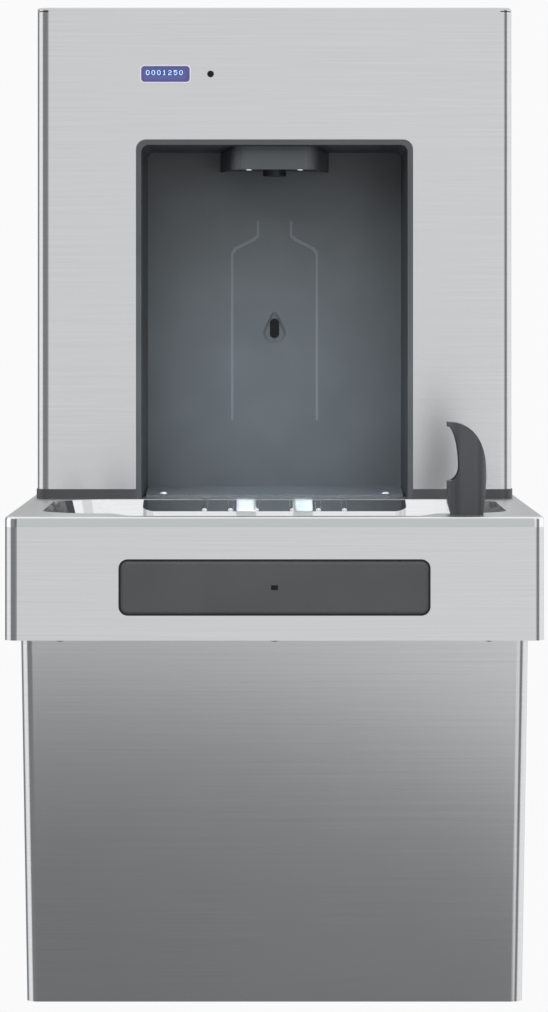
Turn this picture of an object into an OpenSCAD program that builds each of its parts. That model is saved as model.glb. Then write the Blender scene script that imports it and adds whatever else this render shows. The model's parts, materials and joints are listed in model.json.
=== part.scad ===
// Wall-hung bottle filling station: upper cabinet, basin, lower cabinet.
// Millimetres. X runs across, the wall is the plane y = 0 and the front faces -Y.
// The origin is the centre of the four wall bolts, on the wall plane.

/* [Overall] */
// Width of the basin and the lower cabinet
unit_w = 467; // [450:1:500]
// Depth from the wall to the front of the fascia
unit_d = 483; // [470:1:500]
// Height of the deck above the wall bolts' centre
deck_z = 230; // [226:1:240]
// Step from the side of the basin to the side of the upper cabinet
side_step = 7.75; // [6:0.25:12]
// Depth of the upper cabinet
upper_d = 129; // [122:1:136]
// Height of the upper cabinet above the deck
upper_h = 467; // [460:1:520]
// Height of the basin and the lower cabinet together
lower_h = 472; // [468:1:500]
// Depth of the lower cabinet at its top
lower_top_d = 263; // [255:1:275]
// Depth of the lower cabinet at its foot
lower_foot_d = 165; // [158:1:175]
// Thickness of the stainless sheet
sheet_t = 1.2; // [1:0.1:1.5]
// Outer radius of the vertical corners
corner_r = 11; // [9:0.5:14]
// Thickness of the galvanised sheet inside
steel_t = 1.5; // [1.2:0.1:2]
// Gap between pieces that sit together
seat_gap = 0.3; // [0.2:0.05:0.5]

/* [Upper cabinet] */
// Height of the dark trim at the foot
trim_h = 9.2; // [7:0.2:12]
// How far the trim stands out past the cabinet
trim_proud = 1; // [0.5:0.1:2]
// Width of the ledge of the trim under the sheet
trim_ledge = 5; // [4:0.5:7]
// Height of the edge of the top cap
cap_h = 3.2; // [3:0.1:6]
// Outer radius of the rolled edges of cap and deck
roll_r = 2.6; // [2:0.1:3.2]
// Height of the open seam at the rounded top corners
seam_h = 0.9; // [0.6:0.1:1.5]
// Depth of the flanges of the back plate
back_flange = 22; // [15:1:30]

/* [Alcove] */
// Width over the bezel of the alcove
bezel_w = 263.4; // [255:0.2:270]
// Height of the cabinet's face above the alcove
brow_h = 125.4; // [115:0.2:135]
// Width of the bezel band
bezel_band = 5; // [4:0.5:7]
// How far the bezel stands proud of the face
bezel_proud = 1.6; // [1:0.1:3]
// Radius of the upper corners of the bezel
bezel_r = 9.5; // [7:0.5:14]
// Wall of the moulded liner
liner_t = 2.5; // [2:0.1:3]
// Distance of the back panel from the wall
panel_y = 29; // [27:0.5:34]
// How far each side draws in towards the back
side_draft = 3.2; // [2:0.1:5]
// How far the roof comes down towards the back
roof_draft = 3.4; // [2:0.1:5]
// Half the width of the embossed bottle
bottle_r = 41.3; // [38:0.1:45]
// Half the width of the bottle's neck
neck_r = 16.2; // [14:0.1:19]
// Share of the alcove below the bottle
bottle_foot_share = 0.211; // [0.18:0.001:0.24]
// Share of the alcove up to its shoulder
bottle_body_share = 0.69; // [0.6:0.001:0.72]
// Share of the alcove up to its neck
bottle_neck_share = 0.741; // [0.73:0.001:0.76]
// Share of the alcove up to its mouth
bottle_mouth_share = 0.792; // [0.77:0.001:0.81]
// Width of the embossed line
emboss_w = 2.2; // [1.6:0.1:3]
// Height of the embossed line
emboss_h = 0.9; // [0.5:0.1:1.5]
// Height of the sill at the back panel
sill_back_h = 8; // [6:0.5:10]
// Height of the sill at its front edge
sill_front_h = 2.6; // [2:0.1:4]
// Depth of the sill from back to front
sill_d = 70; // [60:1:78]
// Distance of the sill screws from the middle
sill_screw_x = 106.4; // [95:0.2:112]

/* [Filler outlet] */
// Height of the hood below the alcove's roof
hood_h = 23; // [20:0.2:28]
// Height of the hood's set-back top band
hood_band = 4.6; // [3:0.2:7]
// Half the width of the hood at the back
hood_back_r = 52.8; // [48:0.2:56]
// Half the width of the hood at the front
hood_front_r = 42; // [38:0.5:46]
// Distance of the hood's front from the cabinet's face
hood_inset = 12; // [8:0.5:18]
// Radius of the hood's front corners
hood_r = 14; // [10:0.5:18]
// Wall of the hood
hood_t = 2.4; // [2:0.1:3]
// Distance of the outlet from the wall
outlet_y = 75; // [70:1:82]
// Outer radius of the outlet ring
outlet_r = 11.2; // [9:0.1:13]
// Radius of the opening of the outlet ring
outlet_bore = 7.2; // [5:0.1:8]
// How far the outlet ring hangs below the hood
outlet_drop = 5; // [3:0.5:8]
// Distance of each light from the middle
led_x = 24.75; // [20:0.25:28]
// Radius of each light
led_r = 2.5; // [2:0.1:4]
// Radius of the water tube
tube_r = 3.2; // [2.8:0.1:4]

/* [Counter window and sensor] */
// Distance of the counter window from the middle
display_x = 103.7; // [98:0.1:110]
// Counter window's middle below the cabinet's top
display_drop = 63.1; // [55:0.1:70]
// Width of the counter window
display_w = 46.1; // [40:0.1:52]
// Height of the counter window
display_h = 15; // [12:0.1:18]
// Corner radius of the counter window
display_r = 3.3; // [2:0.1:5]
// Distance of the round indicator from the middle
lamp_x = 60.8; // [55:0.1:66]
// Radius of the round indicator
lamp_r = 3.05; // [2.5:0.05:4]
// Share of the alcove's height up to the bottle sensor
sensor_share = 0.474; // [0.4:0.001:0.55]
// Depth of the dish round the sensor at its foot
dish_sink = 1.8; // [1:0.1:2]
// Width of the bottle sensor's window
sensor_w = 8.7; // [7:0.1:11]
// Height of the bottle sensor's window
sensor_h = 18.7; // [15:0.1:22]

/* [Basin] */
// Height of the basin's turned-down lip
lip_h = 9; // [8:0.5:12]
// Strip of deck beside the bowl
bowl_margin = 26.5; // [22:0.5:34]
// Strip of deck behind the bowl
bowl_back_strip = 9; // [6:0.5:14]
// Strip of deck in front of the bowl
bowl_front_strip = 62; // [58:1:70]
// Width of the cove in the bowl's front
cove_w = 262; // [240:2:270]
// How much each side of the cove widens
cove_flare = 17; // [10:1:24]
// Corner radius of the cove
cove_r = 16; // [10:1:20]
// Strip of deck in front of the cove
cove_strip = 15; // [12:1:20]
// Corner radius of the bowl's rim
bowl_r = 55; // [45:1:65]
// Depth of the bowl
bowl_depth = 48; // [42:1:54]
// How far the bowl's walls lean in
bowl_lean = 16; // [12:1:22]
// Radius where the bowl's walls meet its floor
bowl_floor_r = 14; // [10:1:18]
// Half the width of the bottle ledge
ledge_r = 124; // [116:1:130]
// Depth of the bottle ledge
ledge_d = 46; // [40:1:52]
// How far the ledge starts below the deck
ledge_step = 0.3; // [0.2:0.1:1]
// How far the ledge falls towards the front
ledge_fall = 9; // [7:0.5:12]
// Distance of the first rib from the middle
rib_x = 16.9; // [14:0.1:20]
// Distance from rib to rib
rib_pitch = 24.3; // [20:0.1:28]
// Number of ribs on each side of the middle
rib_n = 3; // [2:1:4]
// Radius of each rib
rib_r = 3.1; // [2:0.1:3.5]
// Radius of the drain hole
drain_r = 22; // [19:0.5:25]
// Distance of the drain from the wall
drain_y = 228; // [224:1:234]
// Outer radius of the waste pipe
waste_r = 15.9; // [15:0.1:17.5]
// Wall of the waste pipe
waste_t = 1.6; // [1.2:0.1:2]
// Height of the waste outlet above the wall bolts
waste_z = 96; // [88:1:104]
// Length of the waste pipe's outlet behind the last coupling
waste_end = 22; // [18:1:26]

/* [Bubbler] */
// Distance of the bubbler from the basin's side
bubbler_side = 65.5; // [62:0.5:70]
// Distance of the bubbler from the front of the fascia
bubbler_inset = 42; // [38:1:46]
// Width of the guard
guard_w = 34; // [30:0.5:38]
// Depth of the guard from front to back
guard_d = 36; // [32:1:42]
// Height of the guard
guard_h = 81; // [75:1:88]
// Height where the guard starts to bend over
guard_knee = 32; // [28:1:36]
// Height of the jaw below the mouth
guard_jaw = 29.5; // [26:0.5:33]
// Depth of the mouth, seen from the front
mouth_d = 10; // [8:0.5:13]
// Depth of the scoop inside the mouth
scoop_d = 22; // [18:0.5:25]
// Wall of the guard
guard_t = 4; // [3:0.5:6]
// Radius of the spout in the mouth
spout_r = 5; // [4:0.5:6]
// Radius of the shank below the deck
shank_r = 9.5; // [8:0.5:11]

/* [Fascia and push bar] */
// Height of the fascia with the basin's lip
fascia_h = 107; // [104:1:112]
// Width of the push bar
bar_w = 266.7; // [255:0.5:280]
// Height of the push bar
bar_h = 45.8; // [42:0.5:50]
// Corner radius of the push bar
bar_r = 6.5; // [5:0.5:9]
// Thickness of the push bar
bar_t = 14; // [12:0.5:16]
// How far the bar stands proud of the fascia at rest
bar_proud = 2; // [1:0.5:4]
// How far the bar travels when it is pushed
bar_travel = 5; // [3:0.5:6]
// Height of the middle of the bar above the fascia's foot
bar_z = 45.9; // [42:0.1:50]
// Gap all round the bar
bar_gap = 1.5; // [1:0.1:2.5]
// Reach of the bar's flange behind the fascia
bar_flange = 4; // [3:0.5:6]
// Rounding of the bar's front edges
bar_edge = 2.4; // [1.5:0.1:3.5]
// Distance of each guide pin from the middle
pin_x = 100; // [85:1:112]
// Radius of each guide pin
pin_r = 4; // [3:0.5:5]
// Running clearance of the pins and the plunger
run_gap = 0.08; // [0.04:0.01:0.1]
// Wire radius of the return springs
wire_r = 0.6; // [0.4:0.1:0.8]
// Turns of each return spring
spring_turns = 5; // [4:1:6]
// Room for the springs between the bar and the bushes
spring_room = 13; // [12:0.5:16]
// Distance of the switch from the middle
switch_x = 55; // [45:1:65]
// Radius of the switch plunger
plunger_r = 2; // [1.5:0.1:3]

/* [Lower cabinet] */
// Distance between the wall bolts across
bolt_x = 300; // [280:1:320]
// Distance between the wall bolts up and down
bolt_z = 300; // [280:1:310]
// Radius of the wall bolt holes
bolt_r = 4.5; // [3.5:0.1:6]
// Number of louvre slots in each side
louvre_n = 9; // [6:1:10]
// Height of each louvre slot
louvre_h = 5; // [4:0.5:6]
// Distance from slot to slot
louvre_pitch = 12; // [10:0.5:13]
// Length of each louvre slot
louvre_w = 84; // [70:1:95]
// Foot screws from the cabinet's side
foot_screw_side = 80.5; // [68:0.5:94]
// Outer fascia screws from the cabinet's side
fascia_screw_side = 47.5; // [38:0.5:58]
// Radius of the screw heads
screw_head_r = 4; // [3:0.25:5]

/* [Cooling] */
// Radius of the compressor's shell
comp_r = 52; // [46:1:55]
// Share of the cabinet's height for the compressor
comp_share = 0.274; // [0.24:0.001:0.31]
// Distance of the compressor from the cabinet's side
comp_side = 113.5; // [104:0.5:128]
// Distance of the compressor and the condenser from the wall
cool_y = 84; // [80:1:90]
// Outer side of the fan shroud
shroud_s = 112; // [104:1:120]
// Radius of the fan
fan_r = 46; // [42:0.5:49]
// Number of fan blades
blade_n = 5; // [3:1:7]
// Number of fins of the condenser
fin_n = 15; // [10:1:18]
// Radius of the water tank with its insulation
tank_r = 60; // [52:1:64]
// Share of the cabinet's height for the tank
tank_share = 0.411; // [0.37:0.001:0.43]
// Radius of the filter cartridge
filter_r = 32; // [28:0.5:36]
// Length of the filter cartridge
filter_h = 140; // [120:1:150]
// Distance of the filter from the cabinet's side
filter_side = 83.5; // [74:0.5:94]

/* [Hidden] */
$fn = 64;

// Overrun of every cut, and the roundness of faceted blends
over = 2;
blend_fn = 32;

// Derived widths and heights
upper_w = unit_w - 2 * side_step;
bowl_w = unit_w - 2 * bowl_margin;
bubbler_x = unit_w / 2 - bubbler_side;
foot_screw_x = unit_w / 2 - foot_screw_side;
fascia_screw_x = unit_w / 2 - fascia_screw_side;
comp_x = unit_w / 2 - comp_side;
filter_x = unit_w / 2 - filter_side;
comp_h = comp_share * (lower_h - fascia_h);
tank_h = tank_share * (lower_h - fascia_h);
bezel_h = upper_h - brow_h;
hood_z = bezel_h - bezel_band - hood_h;

// Levels and planes
upper_foot_z = deck_z + trim_h;
upper_top_z = deck_z + upper_h;
shell_top_z = upper_top_z - cap_h;
foot_z = deck_z - lower_h;
fascia_foot_z = deck_z - fascia_h;
face_y = -upper_d;
front_y = -unit_d;
panel_face_y = -panel_y;
throat_w = bezel_w - 2 * bezel_band;
throat_h = bezel_h - bezel_band;
throat_r = bezel_r - bezel_band / 2;
hood_foot_z = deck_z + hood_z;
hood_front_y = face_y + hood_inset;
sensor_mid_z = deck_z + sensor_share * bezel_h;
display_mid_z = upper_top_z - display_drop;
bowl_back_y = face_y - bowl_back_strip;
bowl_front_y = front_y + bowl_front_strip;
bowl_mid_y = (bowl_back_y + bowl_front_y) / 2;
bowl_floor_z = deck_z - bowl_depth;
bubbler_y = front_y + bubbler_inset;
bar_mid_z = fascia_foot_z + bar_z;
bar_front_y = front_y - bar_proud;
bar_back_y = bar_front_y + bar_t;
bush_front_y = bar_back_y + spring_room;
lower_tilt = atan((lower_top_d - lower_foot_d) / (fascia_foot_z - foot_z));

// Share of the bottle's half width where its shoulder starts to round
shoulder_shares = [[0.39, 0], [0.50, 0.22], [0.92, 0.72], [1, 1]];
// Share that makes the guard squarer than an ellipse
guard_square_share = 0.83;

steel = [0.80, 0.80, 0.81];
bright = [0.86, 0.87, 0.88];
dark = [0.27, 0.28, 0.29];
charcoal = [0.34, 0.35, 0.37];
zinc = [0.66, 0.68, 0.70];
brass_c = [0.76, 0.62, 0.32];
copper = [0.76, 0.46, 0.30];
black = [0.07, 0.07, 0.08];

// A rectangle with rounded front corners and its back on the wall plane
module front_round(w, d, r) {
  translate([-w / 2, -d + r])
    square([w, d - r]);
  translate([-w / 2 + r, -d])
    square([w - 2 * r, d]);
  for (side = [-1, 1])
    translate([side * (w / 2 - r), -d + r])
      circle(r);
}

// The same outline as a wall of sheet
module front_wall(w, d, r, t) {
  difference() {
    front_round(w, d, r);
    translate([0, over])
      front_round(w - 2 * t, d - t + over, r - t);
  }
}

// A rectangle about the middle with four rounded corners
module round_rect(w, h, r) {
  square([w - 2 * r, h], center = true);
  square([w, h - 2 * r], center = true);
  for (sx = [-1, 1], sy = [-1, 1])
    translate([sx * (w / 2 - r), sy * (h / 2 - r)])
      circle(r);
}

// An arch with rounded upper corners that stands on the deck
module portal(w, h, r) {
  translate([-w / 2, 0])
    square([w, h - r]);
  translate([-w / 2 + r, 0])
    square([w - 2 * r, h]);
  for (side = [-1, 1])
    translate([side * (w / 2 - r), h - r])
      circle(r);
}

// Extrudes an upright outline from y = back to y = front
module between_y(back, front) {
  translate([0, back, 0])
    rotate([90, 0, 0])
      linear_extrude(back - front)
        children();
}

// Extrudes an outline drawn in y and z across the middle
module across_x(w) {
  translate([-w / 2, 0, 0])
    rotate([90, 0, 90])
      linear_extrude(w)
        children();
}

// Section of a rolled edge: a quarter ring and a leg
module roll_section(roll, t, h) {
  translate([-roll, -roll])
    intersection() {
      difference() {
        circle(roll);
        circle(roll - t);
      }
      square(roll);
    }
  translate([-t, -h])
    square([t, h - roll]);
}

// A sheet tray with rolled edges and rounded front corners
module rolled_tray(w, d, r, roll, t, h) {
  translate([0, 0, -t])
    linear_extrude(t)
      front_round(w - 2 * roll, d - roll, r - roll);
  translate([-(w / 2 - r), -d, 0])
    rotate([90, 0, 90])
      linear_extrude(w - 2 * r)
        mirror([1, 0])
          roll_section(roll, t, h);
  for (side = [0, 1])
    mirror([side, 0, 0]) {
      translate([w / 2, 0, 0])
        rotate([90, 0, 0])
          linear_extrude(d - r)
            roll_section(roll, t, h);
      translate([w / 2 - r, -d + r, 0])
        rotate([0, 0, -90])
          rotate_extrude(angle = 90)
            translate([r, 0])
              roll_section(roll, t, h);
    }
}

// A tube along corner points, with ball-shaped elbows
module pipe_run(points, r) {
  for (i = [0 : len(points) - 2]) {
    span = points[i + 1] - points[i];
    translate(points[i])
      rotate([0, acos(span[2] / norm(span)), atan2(span[1], span[0])])
        cylinder(r = r, h = norm(span));
  }
  for (i = [1 : 1 : len(points) - 2])
    translate(points[i])
      sphere(r);
}

// A pan-head screw that points down, with its head's seat at z = 0
module pan_screw(head_r, length) {
  shank = head_r / 2;
  rotate_extrude()
    intersection() {
      translate([0, -head_r])
        circle(head_r * sqrt(2));
      square([head_r, head_r / 2]);
    }
  translate([0, 0, -length])
    cylinder(r = shank, h = length);
}

// Round bars that run from a point towards the front, the back or up
module rod_front(at, r, l) {
  translate(at)
    rotate([90, 0, 0])
      cylinder(r = r, h = l);
}

module rod_back(at, r, l) {
  translate(at)
    rotate([-90, 0, 0])
      cylinder(r = r, h = l);
}

module rod_up(at, r, l) {
  translate(at)
    cylinder(r = r, h = l);
}

// Cutters for holes through a sheet, level and upright
module hole_y(at, r) {
  translate(at)
    rotate([90, 0, 0])
      cylinder(r = r, h = 3 * over, center = true);
}

module hole_z(at, r) {
  translate(at)
    cylinder(r = r, h = 3 * over, center = true);
}

// A block from its lowest corner
module block(at, size) {
  translate(at)
    cube(size);
}

// Upper cabinet

module upper_shell() {
  cut_w = throat_w + 2 * liner_t + 2 * seat_gap;
  cut_h = throat_h + liner_t + seat_gap;
  color(steel)
    difference() {
      translate([0, 0, upper_foot_z])
        linear_extrude(shell_top_z - upper_foot_z)
          front_wall(upper_w, upper_d, corner_r, sheet_t);
      translate([0, 0, deck_z])
        between_y(face_y + sheet_t + over, face_y - over)
          portal(cut_w, cut_h, throat_r + liner_t);
      translate([-display_x, 0, display_mid_z])
        between_y(face_y + sheet_t + over, face_y - over)
          round_rect(display_w + seat_gap, display_h + seat_gap, display_r);
      rod_front([-lamp_x, face_y + sheet_t + over, display_mid_z], lamp_r + seat_gap / 2, sheet_t + 2 * over);
      for (side = [-1, 1])
        translate([side * upper_w / 2, face_y, shell_top_z])
          cube([2 * corner_r, 2 * corner_r, 2 * seam_h], center = true);
    }
}

module upper_cap() {
  color(steel)
    translate([0, 0, upper_top_z])
      rolled_tray(upper_w, upper_d, corner_r, roll_r, sheet_t, cap_h);
}

module upper_back() {
  plate_w = upper_w - 2 * sheet_t;
  plate_h = shell_top_z - deck_z;
  color(zinc)
    translate([0, 0, deck_z])
      difference() {
        union() {
          block([-plate_w / 2, -steel_t, trim_h], [plate_w, steel_t, plate_h - trim_h]);
          block([-bolt_x / 2, -steel_t, 0], [bolt_x, steel_t, plate_h]);
          for (side = [0, 1])
            mirror([side, 0, 0])
              block([plate_w / 2 - steel_t, -back_flange, trim_h], [steel_t, back_flange, plate_h - trim_h]);
          block([-plate_w / 2, -back_flange, plate_h - steel_t], [plate_w, back_flange, steel_t]);
        }
        for (side = [-1, 1])
          hole_y([side * bolt_x / 2, 0, plate_h - bolt_x / 5], bolt_r);
      }
}

module trim_ring() {
  translate([0, 0, deck_z])
    linear_extrude(trim_h)
      difference() {
        front_wall(upper_w + 2 * trim_proud, upper_d + trim_proud,
          corner_r + trim_proud, trim_proud + trim_ledge);
        translate([-bezel_w / 2, -upper_d - trim_proud - over])
          square([bezel_w, trim_proud + trim_ledge + 2 * over]);
      }
}

module base_trim_left() {
  color(dark)
    intersection() {
      trim_ring();
      block([-upper_w, -unit_d, 0], [upper_w, unit_d, unit_d]);
    }
}

module base_trim_right() {
  color(dark)
    mirror([1, 0, 0])
      base_trim_left();
}

// The alcove as a drafted solid, grown by a wall thickness
module alcove_block(grow, back_y, front_y) {
  hull() {
    translate([0, 0, deck_z])
      between_y(front_y + seat_gap / 2, front_y)
        portal(throat_w + 2 * grow, throat_h + grow, throat_r + grow, $fn = blend_fn);
    translate([0, 0, deck_z])
      between_y(back_y, back_y - seat_gap / 2)
        portal(throat_w - 2 * side_draft + 2 * grow, throat_h - roof_draft + grow,
          throat_r + grow, $fn = blend_fn);
  }
}

// The outline of a bottle, open at its mouth and its foot
function shoulder_z(share) =
  (bottle_neck_share + share * (bottle_body_share - bottle_neck_share)) * bezel_h;

module bottle_outline(grow) {
  foot = bottle_foot_share * bezel_h;
  mouth = bottle_mouth_share * bezel_h;
  for (side = [0, 1])
    mirror([side, 0])
      polygon(concat(
        [[0, foot], [0, mouth], [neck_r + grow, mouth]],
        [for (s = shoulder_shares) [s[0] * bottle_r + grow, shoulder_z(s[1])]],
        [[bottle_r + grow, foot]]));
}

// The scooped dish round the sensor: a drop with its round end down
module sensor_drop(share) {
  hull() {
    translate([0, -sensor_h / 4])
      circle(1.28 * sensor_w * share, $fn = blend_fn);
    translate([0, 0.72 * sensor_h * share])
      circle(sensor_w / 3 * share, $fn = blend_fn);
  }
}

module alcove_liner() {
  back_out_y = panel_face_y + liner_t;
  color(charcoal)
    difference() {
      union() {
        alcove_block(liner_t, back_out_y, face_y);
        translate([0, 0, deck_z])
          between_y(face_y, face_y - bezel_proud)
            portal(bezel_w, bezel_h, bezel_r);
      }
      difference() {
        alcove_block(0, panel_face_y, face_y - bezel_proud - over);
          translate([0, 0, deck_z])
            between_y(panel_face_y + over, panel_face_y - emboss_h)
              difference() {
                bottle_outline(emboss_w / 2);
                translate([0, -over])
                  bottle_outline(-emboss_w / 2);
              }
        }
        translate([0, 0, sensor_mid_z])
          hull() {
            between_y(panel_face_y, panel_face_y - over)
              sensor_drop(1);
            between_y(panel_face_y + dish_sink, panel_face_y)
              sensor_drop(0.75);
          }
      translate([0, -panel_y, deck_z - over])
        linear_extrude(over)
          square([2 * bezel_w, 2 * unit_d], center = true);
      translate([0, 0, sensor_mid_z])
        between_y(back_out_y + over, panel_face_y - over)
          round_rect(sensor_w + seat_gap, sensor_h + seat_gap, sensor_w / 2);
      rod_front([0, back_out_y + over, tube_z], tube_r + seat_gap, liner_t + 2 * over);
    }
}

module alcove_sill() {
  sill_w = throat_w - 2 * side_draft - 2 * seat_gap;
  back = panel_face_y - seat_gap;
  sill_front = back - sill_d;
  color(charcoal)
    difference() {
      across_x(sill_w)
        polygon([
          [back, deck_z + sill_back_h],
          [sill_front, deck_z + sill_front_h],
          [sill_front, deck_z],
          [sill_front + liner_t, deck_z],
          [sill_front + liner_t, deck_z + sill_front_h - liner_t / 2],
          [back - liner_t, deck_z + sill_back_h - liner_t],
          [back - liner_t, deck_z],
          [back, deck_z]
        ]);
      for (side = [-1, 1])
        rod_up([side * sill_screw_x, sill_front + screw_y_in, deck_z - over],
          screw_head_r / 2 + seat_gap, sill_back_h + 2 * over);
    }
}
screw_y_in = 3 * screw_head_r / 2;

module sill_screws() {
  seat = deck_z + sill_front_h + (sill_back_h - sill_front_h) * (screw_y_in + screw_head_r) / sill_d;
  color(bright)
    for (side = [-1, 1])
      translate([side * sill_screw_x, panel_face_y - seat_gap - sill_d + screw_y_in,
          seat + seat_gap / 2])
        pan_screw(screw_head_r, seat + seat_gap / 2 - deck_z + sheet_t + screw_head_r);
}

// Filler outlet

function hood_points(inset) = let(
    side = hood_front_r - inset,
    r = hood_r - inset,
    edge = hood_front_y + inset)
  concat(
    [[hood_back_r - inset, panel_face_y - seat_gap]],
    [for (a = [0 : 15 : 90])
      [side - r + r * cos(a), edge + r - r * sin(a)]],
    [for (a = [90 : -15 : 0])
      [-(side - r + r * cos(a)), edge + r - r * sin(a)]],
    [[-(hood_back_r - inset), panel_face_y - seat_gap]]);

roof_back_z = deck_z + throat_h - roof_draft;
roof_front_z = deck_z + throat_h;
tube_z = (hood_foot_z + roof_back_z) / 2;

module nozzle_hood() {
  roof_rise = roof_draft * hood_inset / (upper_d - panel_y);
  color(charcoal)
    difference() {
      intersection() {
        union() {
          translate([0, 0, hood_foot_z])
            linear_extrude(hood_h - hood_band)
              polygon(hood_points(0));
          translate([0, 0, hood_foot_z])
            linear_extrude(throat_h)
              polygon(hood_points(hood_t / 2));
        }
        across_x(throat_w)
          polygon([
            [panel_face_y, roof_back_z - seat_gap],
            [hood_front_y - over, roof_front_z - roof_rise - seat_gap],
            [hood_front_y - over, hood_foot_z - over],
            [panel_face_y, hood_foot_z - over]
          ]);
      }
      translate([0, 0, hood_foot_z - over])
        linear_extrude(roof_back_z - hood_t - hood_foot_z + over)
          polygon(hood_points(hood_t));
      hole_y([0, panel_face_y - over, tube_z], tube_r + seat_gap);
    }
}

module nozzle_plate() {
  color(dark)
    difference() {
      translate([0, 0, hood_foot_z + hood_t / 2])
        linear_extrude(hood_t)
          polygon(hood_points(hood_t + seat_gap));
      rod_up([0, -outlet_y, hood_foot_z], outlet_r + seat_gap, 2 * hood_t);
      for (side = [-1, 1])
        rod_up([side * led_x, -outlet_y, hood_foot_z], led_r + seat_gap, 2 * hood_t);
    }
}

plate_foot = hood_foot_z + hood_t / 2;

module outlet_ring() {
  flange_r = outlet_r + hood_t;
  color(black)
    translate([0, -outlet_y, 0])
      difference() {
        union() {
          rod_up([0, 0, hood_foot_z - outlet_drop], outlet_r,
            plate_foot + hood_t - hood_foot_z + outlet_drop);
          rod_up([0, 0, plate_foot + hood_t], flange_r, hood_t);
        }
        rod_up([0, 0, hood_foot_z - outlet_drop - over], outlet_bore, outlet_drop + hood_t + over);
        rod_up([0, 0, hood_foot_z], tube_r + seat_gap, 3 * hood_t);
      }
}

module led_lenses() {
  color([0.95, 0.95, 0.9])
    for (side = [-1, 1])
      translate([side * led_x, -outlet_y, 0]) {
        rod_up([0, 0, plate_foot - seat_gap], led_r, hood_t + seat_gap);
        rod_up([0, 0, plate_foot + hood_t], led_r + hood_t / 2, hood_t / 2);
      }
}

module bottle_sensor_window() {
  back_out_y = panel_face_y + liner_t;
  color(black)
    translate([0, 0, sensor_mid_z])
      difference() {
        union() {
          between_y(back_out_y, panel_face_y - emboss_h / 2)
            round_rect(sensor_w, sensor_h, sensor_w / 2 - seat_gap);
          between_y(back_out_y + liner_t / 2, back_out_y)
            round_rect(sensor_w + liner_t, sensor_h + liner_t, sensor_w / 2);
        }
        for (side = [-1, 1])
          rod_back([0, panel_face_y - emboss_h, side * sensor_h / 4], sensor_w / 3, emboss_h);
      }
}

module sensor_housing() {
  color(black)
    translate([0, 0, sensor_mid_z])
      between_y(-steel_t, panel_face_y + 1.5 * liner_t)
        round_rect(3 * sensor_w, 2 * sensor_h, sensor_w / 3);
}

module display_window() {
  color([0.36, 0.36, 0.60])
    translate([-display_x, 0, display_mid_z]) {
      between_y(face_y + sheet_t, face_y - seat_gap / 2)
        round_rect(display_w, display_h, display_r - seat_gap / 2);
      between_y(face_y + 2 * sheet_t, face_y + sheet_t)
        round_rect(display_w + 2 * display_r, display_h + 2 * display_r, display_r);
    }
}

// The board behind counter window and indicator
board_w = display_x - lamp_x + display_w / 2 + 4 * display_r;
board_h = 2 * display_h;
board_y = face_y + 2 * sheet_t + 3 * display_r;

module display_board() {
  board_mid = -(display_x + display_w / 2 + 2 * display_r) + board_w / 2;
  color([0.10, 0.30, 0.20]) {
    translate([board_mid, 0, display_mid_z])
      between_y(board_y + steel_t, board_y)
        square([board_w, board_h], center = true);
    translate([-display_x, 0, display_mid_z])
      between_y(board_y, face_y + 2 * sheet_t)
        square([display_w, display_h], center = true);
  }
}

module indicator_lens() {
  color(black)
    translate([-lamp_x, 0, display_mid_z])
      rotate([90, 0, 0]) {
        rod_up([0, 0, -board_y], lamp_r, board_y - face_y + seat_gap);
        rod_up([0, 0, upper_d - 2 * sheet_t], lamp_r + display_r / 2, sheet_t);
      }
}

// Room between the alcove and the cabinet's side
bay_w = (upper_w - throat_w) / 2 - sheet_t - liner_t;
bay_x = throat_w / 2 + liner_t + bay_w / 2;
box_w = bay_w * 0.72;
box_h = 2 * bay_w;
box_d = upper_d / 2;

module control_box() {
  lid_t = 2 * steel_t;
  lug = box_w / 6;
  color(black)
    translate([-bay_x, 0, deck_z + upper_h / 3]) {
      difference() {
        between_y(-steel_t, -box_d)
          round_rect(box_w, box_h, lug / 2);
        for (i = [-2 : 2])
          translate([0, -box_d, i * box_h / 6])
            cube([box_w / 2, steel_t, lug / 2], center = true);
      }
      between_y(-steel_t, -steel_t - lid_t)
        square([box_w, box_h + 2 * lug], center = true);
    }
}

valve_x = bay_x;
valve_z = deck_z + upper_h / 3;
valve_y = -(tube_r + 4 * steel_t + panel_y / 2);

coil_r = bay_w / 5;

module filler_valve() {
  color(brass_c) {
    rod_up([valve_x, valve_y, valve_z - coil_r], tube_r + 2 * steel_t, 2 * coil_r);
    rod_front([valve_x, valve_y, valve_z], coil_r / 2, coil_r);
  }
  color(black)
    difference() {
      rod_front([valve_x, valve_y - coil_r, valve_z], coil_r, 1.6 * coil_r);
      rod_front([valve_x, valve_y - coil_r, valve_z], coil_r / 4, 2 * coil_r);
    }
  color(zinc)
    block([valve_x - coil_r, valve_y + tube_r, valve_z - coil_r / 2],
      [2 * coil_r, -valve_y - tube_r - steel_t, coil_r]);
}

tank_top_z = fascia_foot_z - 2 * seat_gap;
riser_y = valve_y;

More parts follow.
